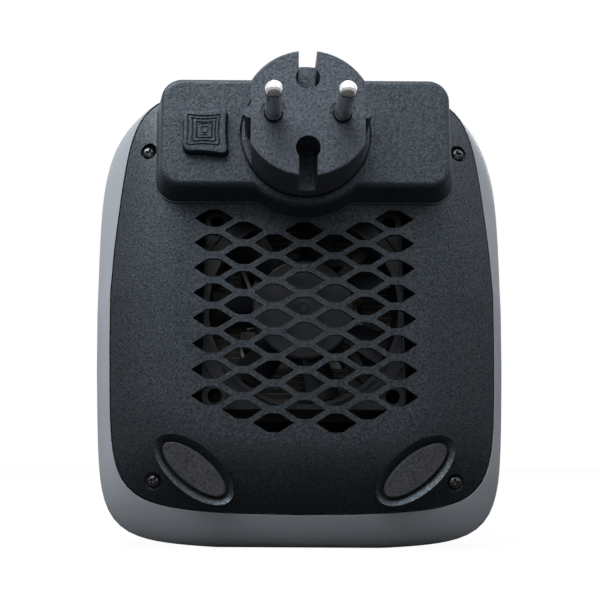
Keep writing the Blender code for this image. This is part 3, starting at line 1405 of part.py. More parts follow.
def make_plug_body(model, material):
    flange = BOX_SEAT_RADIUS - FIT_GAP
    face_radius = PLUG_RADIUS - PLUG_DRAFT
    profile = [
        (0, PLUG_FACE_Y),
        (face_radius - PLUG_FACE_EDGE, PLUG_FACE_Y),
        (face_radius - PLUG_FACE_EDGE / 4, PLUG_FACE_Y - PLUG_FACE_EDGE / 3),
        (face_radius, PLUG_FACE_Y - PLUG_FACE_EDGE),
        (PLUG_RADIUS, FLANGE_TOP_Y),
        (flange, FLANGE_TOP_Y),
        (flange, PLUG_BACK_Y),
        (0, PLUG_BACK_Y),
    ]
    axis = (0, PLUG_FACE_Y, PLUG_Z)
    plug = model.piece("plug_body", turned(profile, 0, PLUG_Z, PLUG_STEPS), material, axis)
    peg_z = PLUG_Z + STOP_PEG_OFFSET
    peg_back_y = PLUG_BACK_Y + JOIN_OVERLAP
    peg = cylinder(STOP_PEG_RADIUS, peg_back_y, PLUG_BACK_Y - STOP_PEG_LENGTH, 0, peg_z, 12)
    model.add(plug, "stop_peg", [peg])
    cuts = [flat_cutter(1), flat_cutter(-1), keyhole(1), keyhole(-1)]
    for side in (1, -1):
        x = side * PIN_SPACING / 2
        hole = PIN_RADIUS + FIT_GAP
        profile = [
            (0, PLUG_FACE_Y + CUT_OVERRUN),
            (PIN_RECESS_RADIUS, PLUG_FACE_Y + CUT_OVERRUN),
            (PIN_RECESS_RADIUS, PLUG_FACE_Y - PIN_RECESS_DEPTH),
            (hole, PLUG_FACE_Y - PIN_RECESS_DEPTH),
            (hole, PLUG_BACK_Y - CUT_OVERRUN),
            (0, PLUG_BACK_Y - CUT_OVERRUN),
        ]
        cuts.append(turned(profile, x, PLUG_Z, 24))
    model.cut(plug, "plug_cuts", cuts)
    return plug


def make_pins(model, material):
    """The two pins. Each carries a spring leaf behind the plug that bears on its slip ring."""
    tip = []
    for step in range(PIN_TIP_STEPS + 1):
        turn = pi / 2 * step / PIN_TIP_STEPS
        tip.append((PIN_RADIUS * sin(turn), PIN_TIP_Y - PIN_RADIUS * (1 - cos(turn))))
    foot_y = LEAF_TOP_Y - LEAF_THICKNESS / 2
    profile = tip + [(PIN_RADIUS, foot_y), (0, foot_y)]
    axis = (0, PLUG_FACE_Y, PLUG_Z)
    pins = []
    for side, end, ring_radius in ((1, "left", OUTER_RING_RADIUS), (-1, "right", INNER_RING_RADIUS)):
        pin_x = side * PIN_SPACING / 2
        pin = turned(profile, pin_x, PLUG_Z, PIN_STEPS)
        pin = model.piece("plug_pin_" + end, pin, material, axis)
        reach = side * (ring_radius - RING_WIDTH / 2)
        low = (min(reach, pin_x), LEAF_UNDER_Y, PLUG_Z - LEAF_WIDTH / 2)
        high = (max(reach, pin_x), LEAF_TOP_Y, PLUG_Z + LEAF_WIDTH / 2)
        model.add(pin, "contact_leaf_" + end, [block(low, high)])
        pins.append(pin)
    # The outer ring lies lower than the inner one, so its leaf has a contact button.
    x = OUTER_RING_RADIUS
    back_y, front_y = LEAF_UNDER_Y + LEAF_THICKNESS / 2, OUTER_RING_TOP_Y + FIT_GAP
    button = cylinder(CONTACT_BUTTON_RADIUS, back_y, front_y, x, PLUG_Z, SCREW_STEPS)
    model.add(pins[0], "contact_button", [button])
    return pins


def stop_slot():
    """The arc that the plug's peg travels in, a little longer than its swing."""
    inner = STOP_PEG_OFFSET - STOP_PEG_RADIUS - FIT_GAP
    outer = STOP_PEG_OFFSET + STOP_PEG_RADIUS + FIT_GAP
    spare = 2 * (STOP_PEG_RADIUS + FIT_GAP) / inner
    start, end = pi / 2 - SWIVEL_LIMIT - spare, pi / 2 + SWIVEL_LIMIT + spare
    outline = arc(0, PLUG_Z, outer, start, end, STOP_SLOT_STEPS)
    return outline + arc(0, PLUG_Z, inner, end, start, STOP_SLOT_STEPS)


def tail_places():
    return (
        (OUTER_RING_RADIUS, OUTER_TAIL_ANGLE),
        (INNER_RING_RADIUS, INNER_TAIL_ANGLE),
    )


def make_contacts(model, carrier_material, ring_material):
    outer = BOX_SEAT_RADIUS - FIT_GAP
    outlines = [circle(outer, 0, PLUG_Z, PLUG_STEPS), stop_slot()]
    for radius, angle in tail_places():
        x, z = radius * cos(angle), PLUG_Z + radius * sin(angle)
        outlines.append(circle(TAIL_RADIUS + FIT_GAP, x, z, TAIL_STEPS))
    carrier = plate(outlines, CONTACT_FLOOR_Y, CARRIER_BACK_Y)
    carrier = model.piece("contact_carrier", carrier, carrier_material)
    rim_y = PLUG_BACK_Y - FIT_GAP
    middle_y = (CONTACT_FLOOR_Y + CARRIER_BACK_Y) / 2
    rim_outer = outer - CUT_OVERRUN / 4
    rim = tube(rim_outer, outer - CARRIER_RIM, rim_y, middle_y, 0, PLUG_Z, PLUG_STEPS)
    model.add(carrier, "carrier_rim", [rim])
    names = ("slip_ring_outer", "slip_ring_inner")
    thicknesses = (OUTER_RING_THICKNESS, INNER_RING_THICKNESS)
    half = RING_WIDTH / 2
    for name, thickness, (radius, angle) in zip(names, thicknesses, tail_places()):
        top_y = RING_SEAT_Y + thickness
        ring = tube(radius + half, radius - half, top_y, RING_SEAT_Y, 0, PLUG_Z, RING_STEPS)
        ring = model.piece(name, ring, ring_material)
        x, z = radius * cos(angle), PLUG_Z + radius * sin(angle)
        tail_end_y = CARRIER_BACK_Y - TAIL_LENGTH
        tail = cylinder(TAIL_RADIUS, RING_SEAT_Y + thickness / 2, tail_end_y, x, z, TAIL_STEPS)
        model.add(ring, name + "_tail", [tail])


def make_fan_frame(model, material):
    square = rounded_box(FAN_HALF_WIDTH, FAN_HALF_WIDTH, FAN_CORNER, 0, FAN_Z, steps=2)
    bore = circle(FAN_BORE_RADIUS, 0, FAN_Z)
    holes = [circle(FAN_HOLE_RADIUS, x, z, SCREW_STEPS) for x, z in fan_hole_places()]
    frame = plate([square, bore] + holes, FAN_BACK_Y, FAN_FRONT_Y)
    frame = model.piece("fan_frame", frame, material)
    # Between its two flanges only the round wall and the corner tubes stay.
    outside = FAN_HALF_WIDTH + CUT_OVERRUN
    waist = [rounded_box(outside, outside, FAN_CORNER, 0, FAN_Z, steps=1)]
    waist.append(circle(FAN_BORE_RADIUS + FAN_TUBE_WALL, 0, FAN_Z))
    for x, z in fan_hole_places():
        waist.append(circle(FAN_HOLE_RADIUS + FAN_RING_WALL, x, z, SCREW_STEPS))
    back_y, front_y = FAN_BACK_Y - FAN_FLANGE, FAN_FRONT_Y + FAN_FLANGE
    model.cut(frame, "fan_waist", [plate(waist, back_y, front_y)])
    struts = []
    reach = FAN_BORE_RADIUS + FAN_TUBE_WALL / 2
    for i in range(FAN_STRUTS):
        low = (FAN_MOUNT_TUBE_RADIUS + JOIN_OVERLAP, FAN_FRONT_Y + FIT_GAP / 2, -FAN_STRUT_WIDTH / 2)
        high = (reach, FAN_FRONT_Y + FAN_MOUNT_THICKNESS, FAN_STRUT_WIDTH / 2)
        turn = Matrix.Rotation(tau * (i + 1 / 2) / FAN_STRUTS, 4, "Y")
        struts.append(moved(block(low, high), Matrix.Translation((0, 0, FAN_Z)) @ turn))
    model.add(frame, "fan_struts", struts)
    outer = FAN_MOUNT_TUBE_RADIUS
    bore_radius = outer - FAN_MOUNT_TUBE_WALL
    plate_back_y = FAN_FRONT_Y + FAN_MOUNT_THICKNESS + FIT_GAP / 2
    tube_back_y = plate_back_y + FAN_MOUNT_TUBE_LENGTH
    floor_y = FAN_FRONT_Y + FAN_MOUNT_THICKNESS / 2
    profile = [
        (0, floor_y),
        (bore_radius, floor_y),
        (bore_radius, tube_back_y),
        (outer, tube_back_y),
        (outer, plate_back_y),
        (FAN_MOUNT_RADIUS, plate_back_y),
        (FAN_MOUNT_RADIUS, FAN_FRONT_Y + FIT_GAP),
        (0, FAN_FRONT_Y + FIT_GAP),
    ]
    model.add(frame, "fan_mount", [turned(profile, 0, FAN_Z)])
    return frame


def make_fan_motor(model, materials):
    inner = FAN_MOUNT_TUBE_RADIUS + FIT_GAP
    stator_front_y = MOTOR_SEAT_Y
    stator_back_y = stator_front_y + STATOR_DEPTH
    stator = tube(STATOR_RADIUS, inner, stator_back_y, stator_front_y, 0, FAN_Z, RING_STEPS)
    stator = model.piece("fan_stator", stator, materials["copper"])
    slots = []
    half = STATOR_SLOT_WIDTH / 2
    for i in range(STATOR_POLES):
        low = (inner + STATOR_SLOT_WIDTH, stator_front_y - CUT_OVERRUN, -half)
        high = (STATOR_RADIUS + CUT_OVERRUN, stator_back_y + CUT_OVERRUN, half)
        turn = Matrix.Rotation(tau * i / STATOR_POLES, 4, "Y")
        slots.append(moved(block(low, high), Matrix.Translation((0, 0, FAN_Z)) @ turn))
    model.cut(stator, "stator_slots", slots)
    bore = FAN_MOUNT_TUBE_RADIUS - FAN_MOUNT_TUBE_WALL
    outer = bore - FIT_GAP
    inner = SHAFT_RADIUS + FIT_GAP
    back_y = MOTOR_SEAT_Y + BEARING_LENGTH
    bearing = tube(outer, inner, back_y, MOTOR_SEAT_Y, 0, FAN_Z, SMALL_ROUND_STEPS)
    model.piece("fan_bearing", bearing, materials["brass"])


def blade(hub_y_middle):
    """One twisted fan blade, thick enough to mould, from inside the hub to its tip."""
    root, tip = HUB_RADIUS - HUB_WALL / 2, FAN_BORE_RADIUS - BLADE_TIP_GAP
    bm = bmesh.new()
    rows = []
    for i in range(BLADE_STEPS + 1):
        share = i / BLADE_STEPS
        radius = root + (tip - root) * share
        pitch = BLADE_PITCH_ROOT + (BLADE_PITCH_TIP - BLADE_PITCH_ROOT) * share
        row = []
        for j in range(BLADE_STEPS + 1):
            along = BLADE_CHORD * (j / BLADE_STEPS - 1 / 2)
            across = along * cos(pitch) / radius
            y = hub_y_middle + along * sin(pitch)
            row.append(bm.verts.new((radius * cos(across), y, radius * sin(across))))
        rows.append(row)
    for first, second in zip(rows, rows[1:]):
        for j in range(BLADE_STEPS):
            bm.faces.new((first[j], first[j + 1], second[j + 1], second[j]))
    mesh = bpy.data.meshes.new("blade")
    bm.to_mesh(mesh)
    bm.free()
    obj = helper("blade", mesh)
    modifier = obj.modifiers.new("wall", "SOLIDIFY")
    modifier.thickness = BLADE_THICKNESS
    modifier.offset = 0
    return baked(obj)


def make_impeller(model, materials):
    back_y = FAN_BACK_Y - HUB_SETBACK
    front_y = FAN_FRONT_Y + FAN_MOUNT_THICKNESS + HUB_SKIRT_CLEARANCE
    inside_y = back_y - HUB_WALL
    inner = HUB_RADIUS - HUB_WALL
    profile = [
        (0, back_y),
        (HUB_RADIUS - HUB_EDGE, back_y),
        (HUB_RADIUS, back_y - HUB_EDGE),
        (HUB_RADIUS, front_y),
        (inner, front_y),
        (inner, inside_y),
        (0, inside_y),
    ]
    axis = (0, back_y, FAN_Z)
    impeller = turned(profile, 0, FAN_Z)
    impeller = model.piece("fan_impeller", impeller, materials["soft_black"], axis)
    one = blade((back_y + front_y) / 2)
    blades = []
    for i in range(BLADES):
        turn = Matrix.Rotation(tau * i / BLADES, 4, "Y")
        blades.append(moved(one, Matrix.Translation((0, 0, FAN_Z)) @ turn))
    model.add(impeller, "fan_blades", blades)
    magnet_outer = inner - FIT_GAP
    magnet_back_y = inside_y - FIT_GAP
    magnet = tube(magnet_outer, magnet_outer - MAGNET_WALL, magnet_back_y, front_y, 0, FAN_Z)
    magnet = model.piece("fan_magnet", magnet, materials["steel"], axis)
    shaft = cylinder(SHAFT_RADIUS, inside_y - FIT_GAP, MOTOR_SEAT_Y, 0, FAN_Z)
    shaft = model.piece("fan_shaft", shaft, materials["steel"], axis)
    return [impeller, magnet, shaft]


def smooth_route(points):
    """More points on a smooth curve through the given ones, ends included."""
    padded = [points[0]] + points + [points[-1]]
    route = []
    for before, a, b, after in zip(padded, padded[1:], padded[2:], padded[3:]):
        for step in range(LEAD_POINT_STEPS):
            t = step / LEAD_POINT_STEPS
            curve = (
                2 * a
                + (b - before) * t
                + (2 * before - 5 * a + 4 * b - after) * t**2
                + (3 * a - before - 3 * b + after) * t**3
            )
            route.append(curve / 2)
    return route + [points[-1]]


def lead(points, radius=LEAD_RADIUS):
    """An insulated wire along a smooth route whose two ends run straight to what they join."""
    places = [Vector(point) for point in points]
    route = [places[0]] + smooth_route(places[1:-1]) + [places[-1]]
    curve = bpy.data.curves.new("lead", "CURVE")
    curve.dimensions = "3D"
    curve.bevel_depth = radius
    curve.bevel_resolution = 1
    curve.use_fill_caps = True
    spline = curve.splines.new("POLY")
    spline.points.add(len(route) - 1)
    for point, place in zip(spline.points, route):
        point.co = (*place, 1)
    return baked(helper("lead", curve))


def make_leads(model, materials):
    (outer_radius, outer_angle), (inner_radius, inner_angle) = tail_places()
    tail_y = CARRIER_BACK_Y - TAIL_LENGTH - FIT_GAP
    below_y = CROWN_Y - LEADS_BEHIND_COVER
    outer_x = outer_radius * cos(outer_angle)
    outer_z = PLUG_Z + outer_radius * sin(outer_angle)
    inner_x = inner_radius * cos(inner_angle)
    inner_z = PLUG_Z + inner_radius * sin(inner_angle)
    switch_y = SWITCH_BACK_Y - SWITCH_TERMINAL_LENGTH - FIT_GAP
    near_x = BUTTON_X - SWITCH_TERMINAL_SPACING / 2
    far_x = BUTTON_X + SWITCH_TERMINAL_SPACING / 2
    terminal_y = POWER_BOARD_BACK_Y + FIT_GAP + TERMINAL_SIZE[2] + FIT_GAP
    spacing = TERMINAL_SIZE[0] / 4
    straight = 2 * LEAD_RADIUS
    live = [
        (outer_x, tail_y, outer_z),
        (outer_x, tail_y - straight, outer_z),
        (outer_x, below_y + LEAD_SLACK, outer_z),
        ((outer_x + near_x) / 2, below_y - LEAD_SLACK, outer_z),
        (near_x, below_y, PLUG_Z),
        (near_x, switch_y - straight, PLUG_Z),
        (near_x, switch_y, PLUG_Z),
    ]
    model.piece("live_lead", lead(live), materials["lead_brown"])
    neutral_x = TERMINAL_X - spacing
    neutral = [
        (inner_x, tail_y, inner_z),
        (inner_x, tail_y - straight, inner_z),
        (inner_x, below_y - LEAD_SLACK, inner_z),
        ((inner_x + neutral_x) / 2, terminal_y + LEADS_BEHIND_COVER, (inner_z + TERMINAL_Z) / 2),
        (neutral_x, terminal_y + straight, TERMINAL_Z),
        (neutral_x, terminal_y, TERMINAL_Z),
    ]
    model.piece("neutral_lead", lead(neutral), materials["lead_blue"])
    switched_x = TERMINAL_X + spacing
    switched = [
        (far_x, switch_y, PLUG_Z),
        (far_x, switch_y - straight, PLUG_Z),
        (far_x, below_y - LEAD_SLACK, PLUG_Z),
        (switched_x, terminal_y + straight, TERMINAL_Z),
        (switched_x, terminal_y, TERMINAL_Z),
    ]
    model.piece("switched_lead", lead(switched), materials["lead_brown"])
    tab_front_y = ELEMENT_FRONT_Y - TAB_LENGTH - FIT_GAP
    first_tab_z = FAN_Z - ELEMENT_HALF_HEIGHT + FIN_ROW_HEIGHT + FIT_GAP + BAR_HEIGHT / 2
    second_tab_z = first_tab_z + FIN_ROW_HEIGHT + BAR_HEIGHT + 2 * FIT_GAP
    front_y = POWER_BOARD_FRONT_Y - FIT_GAP
    low_z = POWER_BOARD_LOW + 2 * LEAD_RADIUS
    clear_y = tab_front_y - 2 * straight
    for side, end, tab_z in ((1, "left", first_tab_z), (-1, "right", second_tab_z)):
        x = side * tab_reach()
        route = [
            (x, front_y, low_z),
            (x, front_y - straight, low_z),
            (x, clear_y, FAN_Z + TUBE_RADIUS),
            (x, clear_y, tab_z + 2 * straight),
            (x, tab_front_y - straight, tab_z),
            (x, tab_front_y, tab_z),
        ]
        model.piece("heater_lead_" + end, lead(route), materials["lead_red"])
    fan_top_z = FAN_Z + FAN_HALF_WIDTH + FIT_GAP
    middle_y = (FAN_BACK_Y + FAN_FRONT_Y) / 2
    board_y = POWER_BOARD_BACK_Y + FIT_GAP
    board_z = POWER_BOARD_LOW + 2 * straight
    route = [
        (FAN_LEAD_X, middle_y, fan_top_z),
        (FAN_LEAD_X, middle_y, fan_top_z + straight),
        (FAN_LEAD_X, board_y + 2 * straight, board_z),
        (FAN_LEAD_X, board_y + straight, board_z),
        (FAN_LEAD_X, board_y, board_z),
    ]
    model.piece("fan_lead", lead(route, FAN_LEAD_RADIUS), materials["lead_red"])


def main():
    remove_everything()
    materials = {
        "grey": new_material("grey_shell", GREY_SHELL, 0.35),
        "matte_black": new_material("matte_black_plastic", MATTE_BLACK, 0.62),
        "soft_black": new_material("soft_black_plastic", SOFT_BLACK, 0.5),
        "rubber": new_material("pad_rubber", RUBBER_BLACK, 0.85),
        "glossy": new_material("glossy_black_plastic", GLOSSY_BLACK, 0.12),
        "nickel": new_material("nickel_plate", NICKEL, 0.22, 1.0),
        "steel": new_material("zinc_steel", STEEL, 0.35, 1.0),
        "brass": new_material("brass", BRASS, 0.3, 1.0),
        "copper": new_material("copper_winding", COPPER, 0.35, 1.0),
        "aluminium": new_material("aluminium_foil", ALUMINIUM, 0.3, 1.0),
        "board": new_material("board_green", BOARD_GREEN, 0.45),
        "relay": new_material("relay_blue", RELAY_BLUE, 0.4),
        "mica": new_material("mica_sheet", MICA, 0.6),
        "ceramic": new_material("bar_ceramic", CERAMIC, 0.55),
        "lead_red": new_material("lead_red", LEAD_RED, 0.45),
        "lead_brown": new_material("lead_brown", LEAD_BROWN, 0.45),
        "lead_blue": new_material("lead_blue", LEAD_BLUE, 0.45),
    }
    model = Model()
    moving = {}
    make_front_housing(model, materials["grey"])
    make_front_grille(model, materials["soft_black"])
    make_window_and_buttons(model, materials["glossy"], materials["soft_black"], moving)
    make_display_board(model, materials["board"], materials["soft_black"])
    make_power_board(model, materials)
    make_heater_frame(model, materials["soft_black"])
    make_frame_screws(model, materials["steel"])
    make_element(model, materials)
    make_back_cover(model, materials["matte_black"])
    make_case_screws(model, materials["steel"])
    make_pads(model, materials["rubber"])
    make_switch_box(model, materials["matte_black"])
    make_box_screws(model, materials["steel"])
    make_power_switch(model, materials["soft_black"])
    make_contacts(model, materials["mica"], materials["brass"])
    make_fan_frame(model, materials["soft_black"])
    make_fan_motor(model, materials)
    make_leads(model, materials)
    plug_pieces = [make_plug_body(model, materials["soft_black"])]
    plug_pieces += make_pins(model, materials["nickel"])
    model.axis("plug_swivel_axis", (0, PLUG_FACE_Y, PLUG_Z), plug_pieces)
    model.axis("fan_axis", (0, FAN_BACK_Y, FAN_Z), make_impeller(model, materials))
    make_power_button(model, materials["soft_black"])


if __name__ == "__main__":
    main()
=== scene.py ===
"""Looks of a plug-in fan heater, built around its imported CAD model.

Lengths are in metres. X runs to the side of the power button, Y out of the back towards the wall
and Z up. The finer pieces stand in for CAD nodes of the same outer size.
"""

import json
from math import asin, atan2, copysign, cos, pi, radians, sin, sqrt, tau

import bmesh
import bpy
from bpy.props import FloatProperty, FloatVectorProperty, IntProperty, PointerProperty
from mathutils import Matrix, Vector

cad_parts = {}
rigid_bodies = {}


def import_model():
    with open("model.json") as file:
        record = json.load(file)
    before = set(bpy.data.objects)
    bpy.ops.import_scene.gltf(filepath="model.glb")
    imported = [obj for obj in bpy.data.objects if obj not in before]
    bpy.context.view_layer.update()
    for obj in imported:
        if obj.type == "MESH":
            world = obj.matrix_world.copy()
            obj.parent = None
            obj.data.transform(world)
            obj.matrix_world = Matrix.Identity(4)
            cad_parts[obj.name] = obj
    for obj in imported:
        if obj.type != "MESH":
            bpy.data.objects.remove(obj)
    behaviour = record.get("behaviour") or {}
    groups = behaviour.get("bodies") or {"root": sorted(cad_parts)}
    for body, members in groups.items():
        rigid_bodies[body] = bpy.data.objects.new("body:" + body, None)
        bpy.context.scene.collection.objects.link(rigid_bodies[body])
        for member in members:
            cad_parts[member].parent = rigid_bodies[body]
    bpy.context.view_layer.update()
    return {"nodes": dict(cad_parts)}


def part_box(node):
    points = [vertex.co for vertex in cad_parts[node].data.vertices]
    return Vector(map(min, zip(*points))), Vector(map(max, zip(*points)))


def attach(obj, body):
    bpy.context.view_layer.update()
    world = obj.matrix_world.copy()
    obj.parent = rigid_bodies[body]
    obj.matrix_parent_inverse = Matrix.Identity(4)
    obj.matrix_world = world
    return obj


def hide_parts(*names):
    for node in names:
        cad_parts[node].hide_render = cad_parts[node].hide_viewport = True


bl_info = {
    "name": "Plug-in fan heater",
    "version": (1, 0, 0),
    "blender": (4, 5, 0),
    "location": "3D View > Sidebar > Fan heater",
    "description": "Builds the finished looks of a plug-in fan heater around its solid model",
    "category": "Object",
}

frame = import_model()


def middle(name):
    """The middle of a CAD node's box, as x and z."""
    low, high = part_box(name)
    return (low.x + high.x) / 2, (low.z + high.z) / 2


# Places read from the solid model
FRONT_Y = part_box("front_housing")[0].y
CROWN_Y = FRONT_Y + 0.056  # the top of the cover's dome
BOX_FACE_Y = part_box("switch_box")[1].y
FACE_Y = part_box("plug_body")[1].y
PIN_TIP_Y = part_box("plug_pin_left")[1].y
PLUG_Z = middle("plug_body")[1]
FAN_Z = middle("fan_frame")[1]
FAN_FRONT_Y, FAN_BACK_Y = (corner.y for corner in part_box("fan_frame"))
GRILLE_LOW, GRILLE_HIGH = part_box("front_grille")
WINDOW_LOW, WINDOW_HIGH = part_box("display_window")
COVER_LOW, COVER_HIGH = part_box("back_cover")
FRONT_BUTTONS = ("button_lower", "button_mode", "button_raise")
FRONT_BUTTON_Z = middle("button_mode")[1]
SCREWS = [middle("case_screw_top_left"), middle("case_screw_bottom_left")]
PADS = ((1, "foot_pad_left"), (-1, "foot_pad_right"))

PAD_TILT = radians(38.0)
SEAM_DROP = 0.0003  # the rim's seam lies this far below the cover's edge
OVERCUT = 0.001  # a cutting body stands this far past the surface that it opens
CLEARANCE = 0.0003  # between the housing and what stands in its openings
BORDER = 0.0025  # width of the outlet grille's frame
CORNERS = ((1, 1), (-1, 1), (-1, -1), (1, -1))  # side and rise of a square's corners
PAD = (0.011, 0.0042)  # half length and half width of a rubber pad
WELL_SLEEVE, WELL, SCREW_HOLE = 0.004, 0.0026, 0.0014  # radii at a case screw
FAN_WALL = 0.0015  # from the fan frame's flat side to its round bore
STRUT = 0.0015  # depth and half width of a fan frame's strut


# Outlines in the XZ plane, anticlockwise from +X


def quarter(steps):
    """Sine and cosine of even steps over a quarter turn."""
    return [(sin(pi / 2 * i / steps), cos(pi / 2 * i / steps)) for i in range(steps + 1)]


def span(a, b):
    return sqrt((b[0] - a[0]) ** 2 + (b[1] - a[1]) ** 2)


def between(a, b, share):
    return a[0] + (b[0] - a[0]) * share, a[1] + (b[1] - a[1]) * share


def blended(first, second, share):
    return [between(a, b, share) for a, b in zip(first, second)]


def arc(x, z, radius, start, end, steps):
    angles = [start + (end - start) * i / steps for i in range(steps + 1)]
    return [(x + radius * cos(a), z + radius * sin(a)) for a in angles]


def circle(radius, x=0.0, z=0.0, steps=48):
    return arc(x, z, radius, 0, tau, steps)[:-1]


def rounded_box(half_width, half_height, corner, x=0.0, z=0.0, steps=8):
    points = []
    for turn, (side, rise) in enumerate(CORNERS):
        centre = (x + side * (half_width - corner), z + rise * (half_height - corner))
        points += arc(*centre, corner, turn * pi / 2, (turn + 1) * pi / 2, steps)
    return points


def oval(half_length, half_width, tilt, x, z):
    points = []
    for along, across in circle(1, steps=64):
        u, v = half_length * along, half_width * across
        points.append((x + u * cos(tilt) - v * sin(tilt), z + u * sin(tilt) + v * cos(tilt)))
    return points


def evenly_spaced(points, count):
    """The same closed outline with count points at even steps along it."""
    closed = points + points[:1]
    lengths = [0.0]
    for a, b in zip(closed, closed[1:]):
        lengths.append(lengths[-1] + span(a, b))
    result, at = [], 0
    for i in range(count):
        wanted = lengths[-1] * i / count
        while lengths[at + 1] < wanted:
            at += 1
        share = (wanted - lengths[at]) / max(lengths[at + 1] - lengths[at], 1e-12)
        result.append(between(closed[at], closed[at + 1], share))
    return result


def bowed_outline(group, half_width, low, high, aside=1.0):
    """A rounded upright outline with bowed sides and bottom, shaped by a group's properties."""
    centre, half_height = (low + high) / 2, (high - low) / 2
    upper = (group.corner_power_high, group.taper_high)
    lower = (group.corner_power_low, group.taper_low)
    sag, middle_x = group.sag, group.aside * aside
    points = []
    for step in range(1600):
        angle = tau * step / 1600
        c, s = cos(angle), sin(angle)
        power, taper = upper if s >= 0 else lower
        rise = copysign(abs(s) ** (2 / power), s)
        reach = copysign(abs(c) ** (2 / power), c)
        bow = sqrt(rise * rise + 0.02) - sqrt(0.02)
        if s < 0:
            rise *= 1 - sag * reach * reach
        x = middle_x + half_width * reach * (1 - taper * bow)
        points.append((x, centre + half_height * rise))
    return evenly_spaced(points, 160)


def body_outline(narrowed=0.0, raised=0.0, aside=1.0):
    body = sizes("body")
    low, high = raised - 0.0006, body.height - narrowed
    points = bowed_outline(body, body.half_width - narrowed, low, high, aside)
    return [(x, max(z, raised)) for x, z in points]


def cover_outline(wider=0.0):
    cover = sizes("cover")
    low = COVER_LOW.z - cover.lowered - wider
    return bowed_outline(cover, COVER_HIGH.x + wider, low, COVER_HIGH.z + wider)


def cover_edge_y():
    return CROWN_Y - sizes("cover").drop


def dome_rings(wider=0.0):
    """The domed back of the cover, from its edge up to the crown."""
    cover = sizes("cover")
    rings = []
    for step in range(15):
        share = step / 14
        drop = cover.drop * (1 - share) ** 2.2
        rings.append((cover_outline(wider - cover.dome_width * share), CROWN_Y - drop + wider))
    return rings


def flare_rings(wider=0.0):
    """The grey rim, from the widest section up to its seam with the cover."""
    seam, widest = cover_outline(sizes("cover").seam + wider), body_outline(-wider, -wider)
    rings = []
    for s, c in reversed(quarter(12)):
        fall = 0.6 * s + 0.4 * (1 - c)
        y = cover_edge_y() - SEAM_DROP - sizes("body").flare_depth * fall + wider
        rings.append((blended(seam, widest, s), y))
    return rings


def collared_quarter(half_width, rise, corner, collar, fillet):
    """A quarter of the switch box's outline, from its side up to the middle of the collar."""
    reach, fillet_z = collar + fillet, rise + fillet
    fillet_x = sqrt(reach * reach - fillet_z * fillet_z)
    contact = atan2(fillet_z, fillet_x)
    points = arc(half_width - corner, rise - corner, corner, 0, pi / 2, 10)
    points += arc(fillet_x, fillet_z, fillet, tau * 3 / 4, pi + contact, 8)
    return points + arc(0, 0, collar, contact, pi / 2, 16)[1:]


def box_outline(inset, draft):
    """The switch box's outline at its face (draft 0), wider towards its base (1)."""
    box = sizes("box")
    half_width = box.half_width - inset + 0.0021 * draft
    corner, collar = box.corner - inset + 0.001 * draft, box.collar_radius - inset
    rise, fall = box.rise - inset + 0.001 * draft, box.fall - inset + 0.0022 * draft
    top = collared_quarter(half_width, rise, corner, collar, 0.003 + inset)
    low = collared_quarter(half_width, fall, corner, collar + 0.0012 * draft, 0.003 + inset)
    points = top + [(-x, z) for x, z in reversed(top[:-1])]
    points += [(-x, -z) for x, z in low] + [(x, -z) for x, z in reversed(low[:-1])]
    return [(x, z + PLUG_Z) for x, z in points]


def cushion(corners, radius, bows):
    """Four corners, anticlockwise, joined by sides that bow inwards and rounded off."""

    def along(i, t):
        a, b = corners[i], corners[(i + 1) % 4]
        reach = 4 * bows[i] * t * (1 - t)
        x, z = between(a, b, t)
        return x - (b[1] - a[1]) / span(a, b) * reach, z + (b[0] - a[0]) / span(a, b) * reach

    points = []
    for i, corner in enumerate(corners):
        share = radius / span(corner, corners[(i + 1) % 4])
        first, last = along(i - 1, 1 - radius / span(corners[i - 1], corner)), along(i, share)
        for t in (step / 8 for step in range(8)):
            weights = ((1 - t) ** 2, 2 * t * (1 - t), t * t)
            trio = list(zip(weights, (first, corner, last)))
            points.append(tuple(sum(weight * point[k] for weight, point in trio) for k in (0, 1)))
        points += [along(i, share + (1 - 2 * share) * step / 12) for step in range(12)]
    return points


def button_outline(wider):
    """The power button's top: its sides are drawn in and one side is taller."""
    button = sizes("button")
    uneven = ((0.0, -0.0006), (0.0, 0.0006), (0.0005, 0.0005), (0.0, -0.0004))
    corners = []
    for (side, rise), (out, up) in zip(CORNERS, uneven):
        x = button.x + side * (button.half_width + out + wider)
        corners.append((x, PLUG_Z + rise * (button.half_height + up + wider)))
    return cushion(corners, 0.0027 + wider, (0.0008, 0.0006, 0.0006, 0.0001))


def groove_outline(number, wider):
    """One of the nested grooves, which lie a little off the middle."""
    left, right, high, low = (
        (0.00545, -0.0046, 0.00515, -0.00485),
        (0.0040, -0.0035, 0.0040, -0.0037),
        (0.0027, -0.00235, 0.0029, -0.0026),
    )[number]
    places = ((left, high), (right, high), (right, low), (left, low))
    corners = []
    for (side, rise), (x, z) in zip(CORNERS, places):
        corners.append((sizes("button").x + x + side * wider, PLUG_Z + z + rise * wider))
    bow = 0.0005 - 0.00015 * number
    return cushion(corners, 0.0009 - 0.00015 * number, (bow, bow, bow, bow / 2))


def grille_outline(wider):
    half_width = GRILLE_HIGH.x - 0.002
    half_height = (GRILLE_HIGH.z - GRILLE_LOW.z) / 2 - 0.002
    return rounded_box(half_width + wider, half_height + wider, 0.010 + wider, 0, FAN_Z, 12)


def window_outline(wider):
    half_width = WINDOW_HIGH.x - 0.0014
    half_height = (WINDOW_HIGH.z - WINDOW_LOW.z) / 2 - 0.0014
    z = (WINDOW_HIGH.z + WINDOW_LOW.z) / 2
    return rounded_box(half_width + wider, half_height + wider, 0.0025 + wider, 0, z)


# Solids from outlines


def mesh_from(bm, outwards=False):
    if outwards:
        bmesh.ops.recalc_face_normals(bm, faces=bm.faces[:])
    mesh = bpy.data.meshes.new("solid")
    bm.to_mesh(mesh)
    bm.free()
    return mesh


